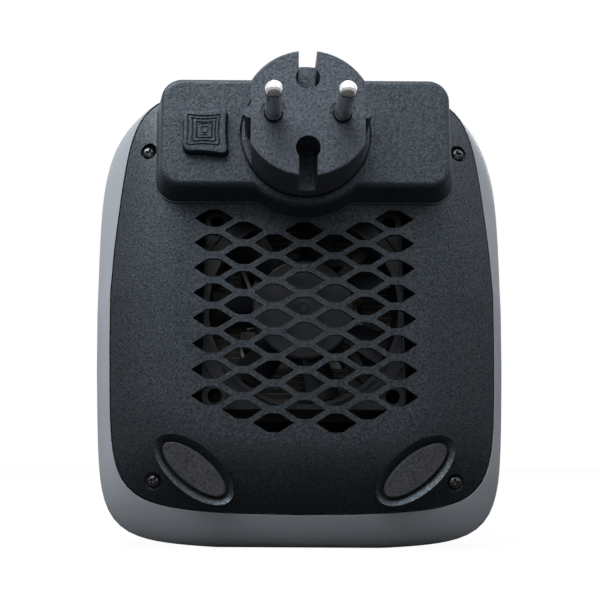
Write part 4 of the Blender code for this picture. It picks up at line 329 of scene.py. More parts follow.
def lofted(rings, cap_front=True, cap_back=True):
    """A skin over outlines of one point count, each at its own y, listed from front to back."""
    bm = bmesh.new()
    loops = [[bm.verts.new((x, y, z)) for x, z in outline] for outline, y in rings]
    for front, back in zip(loops, loops[1:]):
        for i in range(len(front)):
            j = (i + 1) % len(front)
            bm.faces.new((front[i], back[i], back[j], front[j]))
    if cap_front:
        bm.faces.new(loops[0])
    if cap_back:
        bm.faces.new(list(reversed(loops[-1])))
    return mesh_from(bm)


def plate(outline, back_y, front_y):
    return lofted([(outline, front_y), (outline, back_y)])


def rod(radius, x, z, back_y, front_y, steps=32):
    return plate(circle(radius, x, z, steps), back_y, front_y)


def block(low, high):
    outline = [(low[0], low[2]), (high[0], low[2]), (high[0], high[2]), (low[0], high[2])]
    return plate(outline, high[1], low[1])


def turned(profile, x, z, steps=48, closed=False):
    """A solid turned about an axis along Y from (radius, y) pairs, a ring if they are closed."""
    bm = bmesh.new()
    rows = []
    for radius, y in profile:
        outline = circle(radius, x, z, steps) if radius > 1e-9 else [(x, z)]
        rows.append([bm.verts.new((px, y, pz)) for px, pz in outline])
    for first, second in zip(rows, rows[1:] + (rows[:1] if closed else [])):
        for i in range(steps):
            j = (i + 1) % steps
            corners = [first[i % len(first)], first[j % len(first)]]
            corners += [second[j % len(second)], second[i % len(second)]]
            distinct = list(dict.fromkeys(corners))
            if len(distinct) > 2:
                bm.faces.new(distinct)
    return mesh_from(bm, True)


def joined(meshes):
    bm = bmesh.new()
    for mesh in meshes:
        bm.from_mesh(mesh)
    return mesh_from(bm)


def moved(mesh, matrix):
    copy = mesh.copy()
    copy.transform(matrix)
    return copy


# Pieces


def clear(kind, name):
    """Removes what an earlier run made under this name."""
    old = kind.get(name)
    if old:
        kind.remove(old)


def shown(name, mesh):
    clear(bpy.data.objects, name)
    mesh.name = name
    obj = bpy.data.objects.new(name, mesh)
    bpy.context.scene.collection.objects.link(obj)
    return obj


def taken(obj):
    """The object's mesh, with the object itself removed."""
    mesh = obj.data
    bpy.data.objects.remove(obj)
    return mesh


def settled(obj):
    """Turns the object's modifiers into plain mesh."""
    graph = bpy.context.evaluated_depsgraph_get()
    mesh = bpy.data.meshes.new_from_object(obj.evaluated_get(graph))
    obj.modifiers.clear()
    obj.data = mesh
    mesh.name = obj.name
    return obj


def modified(obj, kind, **settings):
    modifier = obj.modifiers.new(kind.lower(), kind)
    for name, value in settings.items():
        setattr(modifier, name, value)
    return settled(obj)


def combined(obj, operation, meshes, crossing=False):
    """Cuts these bodies from the object, or adds them to it, with one exact Boolean."""
    helper = shown("helper", joined(meshes))
    settings = {"operation": operation, "solver": "EXACT", "use_self": crossing}
    modified(obj, "BOOLEAN", object=helper, **settings)
    bpy.data.objects.remove(helper)
    if not obj.data.polygons:
        raise RuntimeError(f"{obj.name} has nothing left after its {operation} step")
    return obj


def cut(obj, meshes, crossing=False):
    return combined(obj, "DIFFERENCE", meshes, crossing)


def fused(obj, meshes):
    return combined(obj, "UNION", meshes)


def kept(obj, meshes):
    return combined(obj, "INTERSECT", meshes)


def walled(obj, thickness):
    return modified(obj, "SOLIDIFY", thickness=thickness, offset=-1, use_even_offset=True)


def softened(obj, width, segments, angle):
    """Rounds the edges that are sharper than the angle."""
    limit = {"limit_method": "ANGLE", "angle_limit": radians(angle), "use_clamp_overlap": True}
    return modified(obj, "BEVEL", width=width, segments=segments, **limit)


def finished(obj, body, finish, replaced, smooth=32):
    """Gives a piece its finish, the CAD body that it rides on and the nodes it stands for."""
    mesh = obj.data
    mesh.materials.clear()
    mesh.materials.append(material(finish))
    mesh.shade_smooth()
    mesh.set_sharp_from_angle(angle=radians(smooth))
    modified(obj, "WEIGHTED_NORMAL", keep_sharp=True, weight=50)
    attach(obj, body)
    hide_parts(*replaced)


# Geometry node trees


class Nodes:
    """A node tree that is written line by line."""

    def __init__(self, tree):
        self.tree = tree

    def link(self, value, socket):
        """Gives a socket a plain value or another node's output."""
        if isinstance(value, bpy.types.NodeSocket):
            self.tree.links.new(value, socket)
        else:
            socket.default_value = value

    def add(self, kind, settings=None, **inputs):
        """A node. An input goes by its name, with _ for a space, or by i and its place."""
        node = self.tree.nodes.new(kind)
        for name, value in (settings or {}).items():
            setattr(node, name, value)
        for name, value in inputs.items():
            key = int(name[1:]) if name[1:].isdigit() else name.replace("_", " ")
            self.link(value, node.inputs[key])
        return node

    def calc(self, operation, first, second=0.0):
        node = self.add("ShaderNodeMath", {"operation": operation}, i0=first, i1=second)
        return node.outputs[0]

    def ranged(self, value, low, high, from_low=0.3, from_high=0.7, curve="LINEAR"):
        limits = {"From_Min": from_low, "From_Max": from_high, "To_Min": low, "To_Max": high}
        settings = {"interpolation_type": curve}
        return self.add("ShaderNodeMapRange", settings, Value=value, **limits).outputs[0]


class Tree(Nodes):
    """A geometry node tree with named inputs."""

    def __init__(self, name):
        super().__init__(bpy.data.node_groups.new(name, "GeometryNodeTree"))
        for way in ("OUTPUT", "INPUT"):
            self.new_socket("Geometry", way, "Geometry")
        self.entry = self.add("NodeGroupInput")
        self.piece = self.entry.outputs["Geometry"]

    def new_socket(self, name, way, kind):
        self.tree.interface.new_socket(name, in_out=way, socket_type="NodeSocket" + kind)

    def ask(self, kind, *names):
        for name in names:
            self.new_socket(name, "INPUT", kind)
        return [self.entry.outputs[name] for name in names]

    def vector(self, x=0.0, y=0.0, z=0.0):
        return self.add("ShaderNodeCombineXYZ", X=x, Y=y, Z=z).outputs[0]

    def moved(self, kind, geometry, **inputs):
        return self.add("GeometryNode" + kind, Geometry=geometry, **inputs).outputs[0]

    def copies(self, points, piece, **inputs):
        node = self.add("GeometryNodeInstanceOnPoints", Points=points, Instance=piece, **inputs)
        return node.outputs[0]

    def close(self, geometry, finish):
        """Ends the tree in Realize Instances and Set Material."""
        real = self.moved("RealizeInstances", geometry)
        coloured = self.moved("SetMaterial", real, Material=material(finish))
        self.add("NodeGroupOutput", i0=coloured)
        return self.tree


def repeated(mesh, tree, **values):
    """Runs a node tree on a mesh, keeps the result as a plain mesh and drops the tree."""
    obj = shown("pattern", mesh)
    modifier = obj.modifiers.new("repeat", "NODES")
    modifier.node_group = tree
    inputs = {item.name: item for item in tree.interface.items_tree if item.in_out == "INPUT"}
    for key, value in values.items():
        modifier[inputs[key.replace("_", " ")].identifier] = value
    settled(obj)
    if not obj.data.polygons:
        raise RuntimeError(f"the node tree {tree.name} made nothing")
    bpy.data.node_groups.remove(tree)
    return taken(obj)


def air_hole_tree(finish):
    """Six-sided prisms with rounded corners: seven columns of eight, each at its own height."""
    tree = Tree("air_holes")
    calc = tree.calc
    across, down, depth = tree.ask("Float", "Pitch across", "Pitch down", "Depth")
    half_width, half_height = tree.ask("Float", "Half width", "Half height")
    half_flat, rounding, pointing = tree.ask("Float", "Half flat", "Corner radius", "Tip radius")
    top = tree.ask("Vector", "Top row")[0]
    position = tree.add("GeometryNodeInputPosition").outputs[0]
    x, y, _ = tree.add("ShaderNodeSeparateXYZ", Vector=position).outputs
    # Columns at whole x from -3 to 3, rows counted down from the top.
    level = calc("ABSOLUTE", calc("SUBTRACT", calc("ABSOLUTE", x), 1.0))
    level = calc("SUBTRACT", 1.0, calc("MULTIPLY", level, 0.5))
    row = calc("ADD", calc("SUBTRACT", 3.5, y), level)
    place_x = calc("MULTIPLY", x, calc("MULTIPLY", across, 0.5))
    place = tree.vector(place_x, 0.0, calc("MULTIPLY", row, calc("MULTIPLY", down, -1.0)))
    place = tree.add("ShaderNodeVectorMath", {"operation": "ADD"}, i0=place, i1=top).outputs[0]
    grid = tree.add("GeometryNodeMeshGrid", Size_X=6.0, Size_Y=7.0, Vertices_X=7, Vertices_Y=8)
    points = tree.moved("SetPosition", grid.outputs[0], Position=place)
    # One outline: a six-point circle pulled to its own width, height and flat.
    ring = tree.add("GeometryNodeCurvePrimitiveCircle", Resolution=6, Radius=1.0)
    tip = calc("GREATER_THAN", calc("ABSOLUTE", x), 0.75)
    reach = calc("ADD", half_flat, calc("MULTIPLY", calc("SUBTRACT", half_width, half_flat), tip))
    side_x = calc("MULTIPLY", calc("SIGN", x), reach)
    side_z = calc("MULTIPLY", calc("SIGN", y), half_height)
    side_z = calc("MULTIPLY", side_z, calc("SUBTRACT", 1.0, tip))
    shape = tree.moved("SetPosition", ring.outputs[0], Position=tree.vector(side_x, side_z))
    past = calc("SUBTRACT", calc("ABSOLUTE", x), calc("ADD", half_flat, 0.001))
    tip = calc("GREATER_THAN", past, 0.0)
    radius = calc("ADD", rounding, calc("MULTIPLY", calc("SUBTRACT", pointing, rounding), tip))
    smooth = {"mode": "POLY"}
    smooth = tree.add("GeometryNodeFilletCurve", smooth, Curve=shape, Radius=radius, Count=4)
    flat = tree.add("GeometryNodeFillCurve", {"mode": "NGONS"}, Curve=smooth.outputs[0])
    flat = tree.moved("Transform", flat.outputs[0], Rotation=(-pi / 2, 0.0, 0.0))
    real = tree.moved("RealizeInstances", tree.copies(points, flat))
    up = tree.vector(0.0, depth, 0.0)
    pulled = tree.add("GeometryNodeExtrudeMesh", Mesh=real, Offset=up, Individual=False)
    lid = tree.add("GeometryNodeFlipFaces", Mesh=real)
    both = tree.add("GeometryNodeJoinGeometry", i0=pulled.outputs[0])
    tree.link(lid.outputs[0], both.inputs[0])
    return tree.close(tree.moved("MergeByDistance", both.outputs[0], Distance=1e-6), finish)


def ring_tree(finish):
    """Copies of one piece, evenly turned about an axis along Y."""
    tree = Tree("copies_around")
    count, start = tree.ask("Int", "Count") + tree.ask("Float", "Start angle")
    centre = tree.ask("Vector", "Centre")[0]
    points = tree.add("GeometryNodeMeshLine", Count=count, Offset=(0.0, 0.0, 0.0)).outputs[0]
    index = tree.add("GeometryNodeInputIndex").outputs[0]
    angle = tree.calc("DIVIDE", tree.calc("MULTIPLY", index, tau), count)
    turn = tree.vector(0.0, tree.calc("ADD", angle, start), 0.0)
    real = tree.moved("RealizeInstances", tree.copies(points, tree.piece, Rotation=turn))
    return tree.close(tree.moved("Transform", real, Translation=centre), finish)


def row_tree(finish):
    """Copies of one piece in a straight row."""
    tree = Tree("copies_in_a_row")
    count = tree.ask("Int", "Count")[0]
    start, step = tree.ask("Vector", "Start", "Step")
    line = tree.add("GeometryNodeMeshLine", Count=count, Start_Location=start, Offset=step)
    return tree.close(tree.copies(line.outputs[0], tree.piece), finish)


def corner_tree(finish):
    """Copies of one piece at two mirrored pairs of places, each with its own turn."""
    tree = Tree("copies_at_corners")
    lines = tree.add("GeometryNodeJoinGeometry")
    for place in tree.ask("Vector", "High place", "Low place"):
        apart = {"operation": "MULTIPLY"}
        apart = tree.add("ShaderNodeVectorMath", apart, i0=place, i1=(-2.0, 0.0, 0.0)).outputs[0]
        line = tree.add("GeometryNodeMeshLine", Count=2, Start_Location=place, Offset=apart)
        tree.link(line.outputs[0], lines.inputs[0])
    seed = tree.ask("Int", "Seed")[0]
    chance = tree.add("FunctionNodeRandomValue", {"data_type": "FLOAT"}, i3=tau / 4, Seed=seed)
    turn = tree.vector(0.0, chance.outputs[1], 0.0)
    return tree.close(tree.copies(lines.outputs[0], tree.piece, Rotation=turn), finish)


# Finishes


class Finish(Nodes):
    """A procedural material. Its patterns lie on Object coordinates."""

    def __init__(self, name, colour, roughness, metallic=0.0):
        clear(bpy.data.materials, name)
        self.material = bpy.data.materials.new(name)
        self.material.use_nodes = True
        super().__init__(self.material.node_tree)
        self.colour, self.roughness, self.height = tuple(colour), roughness, None
        self.material.diffuse_color = (*self.colour, 1.0)
        self.shader = self.tree.nodes["Principled BSDF"]
        self.set("Base Color", (*self.colour, 1.0)).set("Roughness", roughness)
        self.set("Metallic", metallic)
        self.place = self.add("ShaderNodeTexCoord").outputs["Object"]

    def set(self, name, value):
        self.link(value, self.shader.inputs[name])
        return self

    def noise(self, scale, detail=2.0, stretch=None, roughness=0.5):
        place = self.place
        if stretch:
            place = self.add("ShaderNodeMapping", Vector=place, Scale=stretch).outputs[0]
        inputs = {"Scale": scale, "Detail": detail, "Roughness": roughness}
        return self.add("ShaderNodeTexNoise", Vector=place, **inputs).outputs[0]

    def blend(self, share, first, second):
        ends = {"i6": (*first, 1.0), "i7": (*second, 1.0)}
        return self.add("ShaderNodeMix", {"data_type": "RGBA"}, i0=share, **ends).outputs[2]

    def vary_colour(self, scale, amount, detail=3.0):
        """Small uneven lighter and darker places."""
        dark, light = ([c * (1 + way * amount) for c in self.colour] for way in (-1, 1))
        share = self.ranged(self.noise(scale, detail), 0.0, 1.0)
        return self.set("Base Color", self.blend(share, dark, light))

    def vary_gloss(self, scale, amount, detail=3.0):
        low, high = self.roughness - amount, self.roughness + amount
        return self.set("Roughness", self.ranged(self.noise(scale, detail), low, high))

    def vary_sheen(self, scale, low, high):
        """Small brighter and duller places, as on a grained surface."""
        grain = self.noise(scale, 2.0, roughness=0.7)
        return self.set("Specular IOR Level", self.ranged(grain, low, high, 0.34, 0.66))

    def bump(self, value, distance, strength=1.0):
        """Adds a height to the surface's bump, over what is already there."""
        node = self.add("ShaderNodeBump", Strength=strength, Distance=distance, Height=value)
        if self.height:
            self.link(self.height, node.inputs["Normal"])
        self.height = node.outputs[0]
        return self.set("Normal", self.height)


def spark_plastic(finish, grain, depth):
    """Moulded plastic with the fine even texture of an eroded mould."""
    finish.vary_colour(grain, 0.45, 2.0).vary_gloss(60.0, 0.04)
    finish.bump(finish.noise(grain, 3.0, roughness=0.6), depth)
    finish.bump(finish.noise(grain / 20, 2.0), depth, 0.5)
    finish.vary_sheen(grain * 1.3, 0.28, 1.02).set("Specular Tint", (0.74, 0.88, 1.0, 1.0))


def satin_plastic(finish):
    """Smooth satin plastic with a faint ripple and handling marks."""
    finish.vary_colour(38.0, 0.05).vary_gloss(75.0, 0.05, 6.0)
    finish.bump(finish.noise(2600.0, 2.0), 0.000012)
    finish.bump(finish.noise(90.0, 2.0), 0.00003, 0.4)


def plated_metal(finish, streaks=(1.0, 1.0, 1.0)):
    finish.vary_colour(320.0, 0.06).vary_gloss(500.0, finish.roughness * 0.35, 4.0)
    finish.bump(finish.noise(700.0, 3.0, streaks), 0.000008)


def pad_rubber(finish):
    finish.vary_colour(260.0, 0.2).vary_gloss(90.0, 0.08).vary_sheen(1900.0, 0.1, 0.6)
    finish.bump(finish.noise(1300.0, 3.0), 0.00009)


def smoked_window(finish):
    finish.vary_gloss(160.0, 0.02, 5.0).set("Coat Weight", 0.6).set("Coat Roughness", 0.04)


def wound_copper(finish):
    finish.vary_colour(500.0, 0.2)
    finish.bump(finish.noise(900.0, 1.0, (0.1, 8.0, 0.1)), 0.00008)


def lacquered_board(finish):
    tracks = finish.ranged(finish.noise(350.0, 1.0, (4.0, 1.0, 0.6)), 0.0, 1.0, 0.52, 0.56)
    finish.set("Base Color", finish.blend(tracks, (0.014, 0.10, 0.045), (0.035, 0.17, 0.075)))
    finish.bump(tracks, 0.00003)


def wound_mica(finish):
    """Dark sheet with the level turns of the heating ribbon."""
    finish.vary_gloss(300.0, 0.15)
    bands = {"bands_direction": "Z"}
    bands = finish.add("ShaderNodeTexWave", bands, Vector=finish.place, Scale=170.0, Distortion=0.3)
    ribbon = finish.ranged(bands.outputs["Fac"], 0.0, 1.0, 0.82, 0.92)
    finish.set("Base Color", finish.blend(ribbon, (0.008, 0.007, 0.006), (0.15, 0.11, 0.07)))
    finish.bump(finish.noise(420.0, 6.0), 0.00004)


def fired_ceramic(finish):
    finish.vary_colour(500.0, 0.06)
    finish.bump(finish.noise(1500.0, 3.0), 0.00003)


def lead_sleeve(finish):
    finish.vary_colour(300.0, 0.12).vary_gloss(200.0, 0.08)
    finish.bump(finish.noise(700.0, 2.0), 0.00002)


# Colour or the property that holds it, roughness, metallic, surface and the surface's own values
FINISHES = {
    "grey shell finish": ("shell", 0.42, 0.0, satin_plastic),
    "cover finish": ("cover", 0.46, 0.0, spark_plastic, 1500.0, 0.00008),
    "box finish": ("box", 0.48, 0.0, spark_plastic, 1400.0, 0.00009),
    "plug finish": ("plug", 0.5, 0.0, spark_plastic, 1200.0, 0.00012),
    "fan finish": ("fan", 0.40, 0.0, satin_plastic),
    "grille finish": ("fan", 0.45, 0.0, satin_plastic),
    "rubber finish": ("rubber", 0.72, 0.0, pad_rubber),
    "nickel finish": ((0.95, 0.94, 0.91), 0.22, 1.0, plated_metal, (1.0, 0.15, 1.0)),
    "steel finish": ((0.56, 0.57, 0.58), 0.30, 1.0, plated_metal),
    # Case screw steel, far darker than bare steel: painted shade of the deep wells that the screws
    # sit in
    "dark steel finish": ((0.09, 0.09, 0.095), 0.28, 1.0, plated_metal),
    "brass finish": ((0.72, 0.50, 0.20), 0.28, 1.0, plated_metal),
    "aluminium finish": ((0.30, 0.29, 0.28), 0.40, 1.0, plated_metal, (1.0, 0.2, 1.0)),
    "window finish": ((0.006, 0.006, 0.007), 0.07, 0.0, smoked_window),
    "copper finish": ((0.60, 0.24, 0.10), 0.30, 0.8, wound_copper),
    "board finish": ((0.02, 0.13, 0.06), 0.34, 0.0, lacquered_board),
    "blue case finish": ((0.03, 0.10, 0.35), 0.38, 0.0, satin_plastic),
    "mica finish": ((0.02, 0.016, 0.012), 0.45, 0.0, wound_mica),
    "ceramic finish": ((0.22, 0.21, 0.19), 0.6, 0.0, fired_ceramic),
    "red lead finish": ((0.42, 0.02, 0.02), 0.5, 0.0, lead_sleeve),
    "brown lead finish": ((0.16, 0.07, 0.03), 0.5, 0.0, lead_sleeve),
    "blue lead finish": ((0.03, 0.08, 0.30), 0.5, 0.0, lead_sleeve),
}


def material(name):
    """One of the heater's finishes, made the first time that it is asked for."""
    if name not in bpy.data.materials:
        colour, roughness, metallic, surface, *values = FINISHES[name]
        if isinstance(colour, str):
            colour = getattr(sizes("colours"), colour)
        surface(Finish(name, colour, roughness, metallic), *values)
    return bpy.data.materials[name]


# Sizes and colours that a user would change


def length(name, description, default, low=0.0):
    numbers = {"default": default, "min": low, "max": 0.3, "precision": 5}
    return FloatProperty(name=name, description=description, unit="LENGTH", **numbers)


def ratio(name, description, default, low=0.0):
    return FloatProperty(name=name, description=description, default=default, min=low, max=20.0)


def whole(name, description, default, low, high):
    return IntProperty(name=name, description=description, default=default, min=low, max=high)


def wattage(name, description, default):
    numbers = {"default": default, "min": 0.0}
    return FloatProperty(name=name, description=description, unit="POWER", **numbers)


def tint(name, description, default):
    numbers = {"default": default, "size": 3, "min": 0.0, "max": 1.0}
    return FloatVectorProperty(name=name, description=description, subtype="COLOR", **numbers)


class HeaterColours(bpy.types.PropertyGroup):
    """Base colours of the moulded parts"""

    shell: tint("Shell", "Grey of the front housing", (0.31, 0.335, 0.37))
    cover: tint("Back cover", "Black of the back cover", (0.0050, 0.0058, 0.0075))
    box: tint("Switch box", "Black of the switch box and the button", (0.013, 0.016, 0.021))
    plug: tint("Plug", "Black of the plug", (0.032, 0.035, 0.045))
    fan: tint("Fan", "Black of the fan and the outlet grille", (0.016, 0.018, 0.022))
    rubber: tint("Pads", "Black of the rubber pads", (0.020, 0.021, 0.023))


class HeaterBody(bpy.types.PropertyGroup):
    """Shape of the grey front housing"""

    half_width: length("Half width", "Half the width at mid height", 0.06257)
    height: length("Height", "Height of the shell", 0.1393)
    aside: length("Aside", "How far the rim lies to the button's side", 0.0010, -0.002)
    corner_power_high: ratio("Upper corners", "Higher makes them squarer", 4.6, 2.0)
    corner_power_low: ratio("Lower corners", "Higher makes them squarer", 8.5, 2.0)
    sag: ratio("Sag", "How much lower the bottom is at its middle", 0.05)
    taper_high: ratio("Upper taper", "How much the sides draw in upwards", -0.013, -1.0)
    taper_low: ratio("Lower taper", "How much the sides draw in downwards", 0.061, -1.0)
    wall: length("Wall", "Thickness of the shell", 0.0022)
    front_edge: length("Front edge", "Radius of the rounded front edge", 0.008)
    flare_depth: length("Rim depth", "How far the rim falls away from the seam", 0.0112)


class HeaterCover(bpy.types.PropertyGroup):
    """Shape of the domed back cover"""

    aside: length("Aside", "How far the cover lies to the button's side", 0.00053, -0.002)
    corner_power_high: ratio("Upper corners", "Higher makes them squarer", 7.0, 2.0)
    corner_power_low: ratio("Lower corners", "Higher makes them squarer", 8.0, 2.0)
    sag: ratio("Sag", "How much lower the bottom is at its middle", 0.055)
    lowered: length("Lowered", "How far the bottom lies below the solid's", 0.0005)
    taper_high: ratio("Upper taper", "How much the sides draw in upwards", 0.106, -1.0)
    taper_low: ratio("Lower taper", "How much the sides draw in downwards", 0.048, -1.0)
    drop: length("Dome", "How far the crown stands above the edge", 0.007)
    dome_width: length("Dome width", "Width of the curved border", 0.022)
    wall: length("Wall", "Thickness of the cover", 0.002)
    seam: length("Seam", "Gap between the cover and the grey rim", 0.0005)


class HeaterHoles(bpy.types.PropertyGroup):
    """Pattern of air holes"""

    half_width: length("Half width", "Half the width of one hole", 0.0059)
    half_height: length("Half height", "Half the height of one hole", 0.0027)
    half_flat: length("Half flat", "Half the level edge of one hole", 0.00165)
    corner: length("Corner", "Radius of a hole's upper and lower corners", 0.0022)
    tip: length("Tip", "Radius of a hole's two tips", 0.00025)
    across: length("Pitch across", "Distance between two columns of one kind", 0.0179)
    down: length("Pitch down", "Distance between two rows", 0.00749)
    top: length("Top row", "Height of the top row above the fan's axis", 0.02575)


class HeaterBox(bpy.types.PropertyGroup):
    """Shape of the switch box"""

    half_width: length("Half width", "Half the width of its face", 0.0424)
    rise: length("Rise", "Top edge above the plug's axis", 0.0172)
    fall: length("Fall", "Bottom edge below the plug's axis", 0.0157)
    corner: length("Corner", "Radius of the corners", 0.006)
    collar_radius: length("Collar", "Radius of the collar round the plug", 0.0216)
    edge: length("Edge", "Radius of the rounded edge of its face", 0.0016)
    wall: length("Wall", "Thickness of its wall", 0.002)
    opening: length("Plug opening", "Radius of the round opening", 0.0193)


class HeaterPlug(bpy.types.PropertyGroup):
    """Shape of the plug and its pins"""

    radius: length("Radius", "Radius at the foot of the plug", 0.0186)
    draft: length("Draft", "How much narrower its face is", 0.00036)
    flat: length("Flat", "Distance of the side flats from the axis", 0.0157)
    flat_depth: length("Flat depth", "How deep the side flats go", 0.0172)
    keyhole_radius: length("Keyhole", "Radius of the round holes", 0.0034)
    keyhole_offset: length("Keyhole offset", "Distance of the holes from the axis", 0.0101)
    keyhole_depth: length("Keyhole depth", "Depth of the holes and slots", 0.0137)
    slot_width: length("Slot", "Width of the two slots", 0.0051)
    pin_radius: length("Pin radius", "Radius of one pin", 0.0024)
    pin_spacing: length("Pin spacing", "Distance between the two pins", 0.019)


class HeaterButton(bpy.types.PropertyGroup):
    """Shape of the power button"""

    x: length("Place", "Distance from the plug's axis", 0.0292)
    half_width: length("Half width", "Half its width at the corners", 0.0064)
    half_height: length("Half height", "Half its height at the corners", 0.0068)
    stand: length("Stand", "How far it stands out of the box", 0.003)
    grooves: whole("Grooves", "Number of nested grooves", 3, 0, 3)


class HeaterFan(bpy.types.PropertyGroup):
    """Shape of the fan and number of the outlet's slats"""

    blades: whole("Blades", "Number of fan blades", 7, 3, 13)
    half_width: length("Half width", "Half the side of the square frame", 0.03)
    hole_offset: length("Screw holes", "Distance of the corner holes from the axis", 0.0262)
    hub_radius: length("Hub", "Radius of the hub", 0.01551)
    slats: whole("Slats", "Slats of the outlet grille", 19, 4, 30)


class HeaterStudio(bpy.types.PropertyGroup):
    """Light and camera"""

    key_power: wattage("Key lamp", "Power of the main soft lamp", 31.0)
    fill_power: wattage("Fill lamp", "Power of the lamp on the other side", 2.6)
    front_power: wattage("Front lamp", "Power of the lamp on the outlet's side", 6.0)
    lens: FloatProperty(
        name="Lens", description="Focal length", default=58.7, min=10.0, unit="CAMERA"
    )


def sizes(name):
    """One of the scene's groups of sizes or colours."""
    return getattr(bpy.context.scene, "heater_" + name)


# Housing, cover, switch box and button


class HEATER_OT_front_housing(bpy.types.Operator):
    """Grey outer shell: rounded front, flared rim, openings for grille, window and buttons"""

    bl_idname = "heater.front_housing"
    bl_label = "Front housing"

    def execute(self, context):
        body = sizes("body")
        rings = []
        for s, c in quarter(8):
            inset, y = body.front_edge * (1 - s), FRONT_Y + body.front_edge * (1 - c)
            rings.append((body_outline(0.0015 + inset, inset, 0.3), y))
        (front, front_y), (widest, widest_y) = rings[-1], flare_rings()[0]
        for share in (1 / 3, 2 / 3):
            outline = blended(front, widest, sin(pi / 2 * share))
            rings.append((outline, front_y + (widest_y - front_y) * share))
        rings += flare_rings()
        obj = walled(shown("front_housing_shell", lofted(rings, cap_back=False)), body.wall)
        seat = cover_outline(sizes("cover").seam - 0.0001)
        seat_y = cover_edge_y() - SEAM_DROP
        through = (FRONT_Y + body.wall + 0.0005, FRONT_Y - OVERCUT)
        openings = [lofted([(seat, seat_y - 0.003), (seat, seat_y + 0.001)])]
        outlines = [grille_outline(CLEARANCE), window_outline(CLEARANCE)]
        for name in FRONT_BUTTONS:
            outlines.append(circle(0.0038, middle(name)[0], FRONT_BUTTON_Z, 32))
        openings += [plate(outline, *through) for outline in outlines]
        cut(obj, openings, crossing=True)
        softened(obj, 0.00025, 2, 50)
        finished(obj, "heater_body", "grey shell finish", ["front_housing"])
        return {"FINISHED"}


class HEATER_OT_back_cover(bpy.types.Operator):
    """Domed black cover with its air holes, screw wells and pad seats"""

    bl_idname = "heater.back_cover"
    bl_label = "Back cover"

    def execute(self, context):
        skirt = [(cover_outline(), cover_edge_y() - 0.0012)]
        obj = shown("back_cover_shell", lofted(skirt + dome_rings(), cap_front=False))
        walled(obj, sizes("cover").wall)
        floor_y = CROWN_Y - 0.0065
        wells = [(side * x, z) for x, z in SCREWS for side in (1, -1)]
        sleeves = [rod(WELL_SLEEVE, x, z, CROWN_Y, floor_y - 0.0015, 40) for x, z in wells]
        sleeves = shown("sleeve_pattern", joined(sleeves))
        kept(sleeves, [lofted(skirt + dome_rings(-0.00005))])
        fused(obj, [taken(sleeves)])
        rim_y, dish_y = CROWN_Y - 0.0003, CROWN_Y - 0.0019
        above, seats = [], []
        for side, name in PADS:
            place = (side * PAD_TILT, *middle(name))
            recess, floor = oval(0.01350, 0.00660, *place), oval(0.0115, 0.0047, *place)
            rings = [(floor, dish_y - 0.0011), (floor, dish_y)]
            above.append(lofted(rings + [(recess, rim_y), (recess, CROWN_Y + OVERCUT)]))
            outline, pocket = oval(0.01345, 0.00655, *place), oval(0.01125, 0.00445, *place)
            rings = [(outline, dish_y - 0.006), (outline, rim_y)]
            seats.append(lofted(rings + [(pocket, dish_y), (pocket, dish_y - 0.0003)]))
        fused(cut(obj, above), seats)
        bores = []
        for x, z in wells:
            profile = [(0, CROWN_Y), (WELL, CROWN_Y), (WELL, floor_y), (SCREW_HOLE, floor_y)]
            profile += [(SCREW_HOLE, floor_y - 0.003), (0, floor_y - 0.003)]
            bores.append(turned(profile, x, z, 32))
        bores.append(rod(0.0125, 0, PLUG_Z, CROWN_Y + OVERCUT, CROWN_Y - 0.007, 48))
        cut(obj, bores)
        holes = sizes("holes")
        marks = repeated(
            block((0, 0, 0), (0.001, 0.001, 0.001)),
            air_hole_tree("cover finish"),
            Pitch_across=holes.across,
            Pitch_down=holes.down,
            Half_width=holes.half_width,
            Half_height=holes.half_height,
            Half_flat=holes.half_flat,
            Corner_radius=holes.corner,
            Tip_radius=holes.tip,
            Top_row=(0.0, CROWN_Y - 0.007, FAN_Z + holes.top),
            Depth=0.008,
        )
        cut(obj, [marks])
        softened(obj, 0.00035, 3, 42)
        finished(obj, "heater_body", "cover finish", ["back_cover"])
        return {"FINISHED"}


class HEATER_OT_switch_box(bpy.types.Operator):
    """Black box on the cover, with a collar round the plug and an opening for the button"""

    bl_idname = "heater.switch_box"
    bl_label = "Switch box"

    def execute(self, context):
        box, base_y, stand = sizes("box"), CROWN_Y - 0.012, BOX_FACE_Y - CROWN_Y
        rings = [(box_outline(0.0, (BOX_FACE_Y - base_y) / stand), base_y)]
        for s, c in quarter(8):
            y = BOX_FACE_Y - box.edge + box.edge * s
            rings.append((box_outline(box.edge * (1 - c), (BOX_FACE_Y - y) / stand), y))
        obj = walled(shown("switch_box_shell", lofted(rings, cap_front=False)), box.wall)
        foot = shown("foot_pattern", plate(box_outline(-0.0004, 1.0), CROWN_Y + 0.001, base_y))
        cut(foot, [plate(box_outline(0.0012, 1.0), CROWN_Y + 0.002, base_y - OVERCUT)])
        kept(foot, [lofted(flare_rings(0.0006) + dome_rings(0.0006))])
        fused(obj, [taken(foot)])
        cut(obj, [lofted(flare_rings(0.0001) + dome_rings(0.0001))])
        openings = [rod(box.opening, 0, PLUG_Z, BOX_FACE_Y + OVERCUT, base_y, 96)]
        low_y = BOX_FACE_Y - box.wall - OVERCUT
        openings.append(plate(button_outline(0.00035), BOX_FACE_Y + OVERCUT, low_y))
        cut(obj, openings)
        softened(obj, 0.0003, 3, 48)
        finished(obj, "heater_body", "box finish", ["switch_box"])
        return {"FINISHED"}


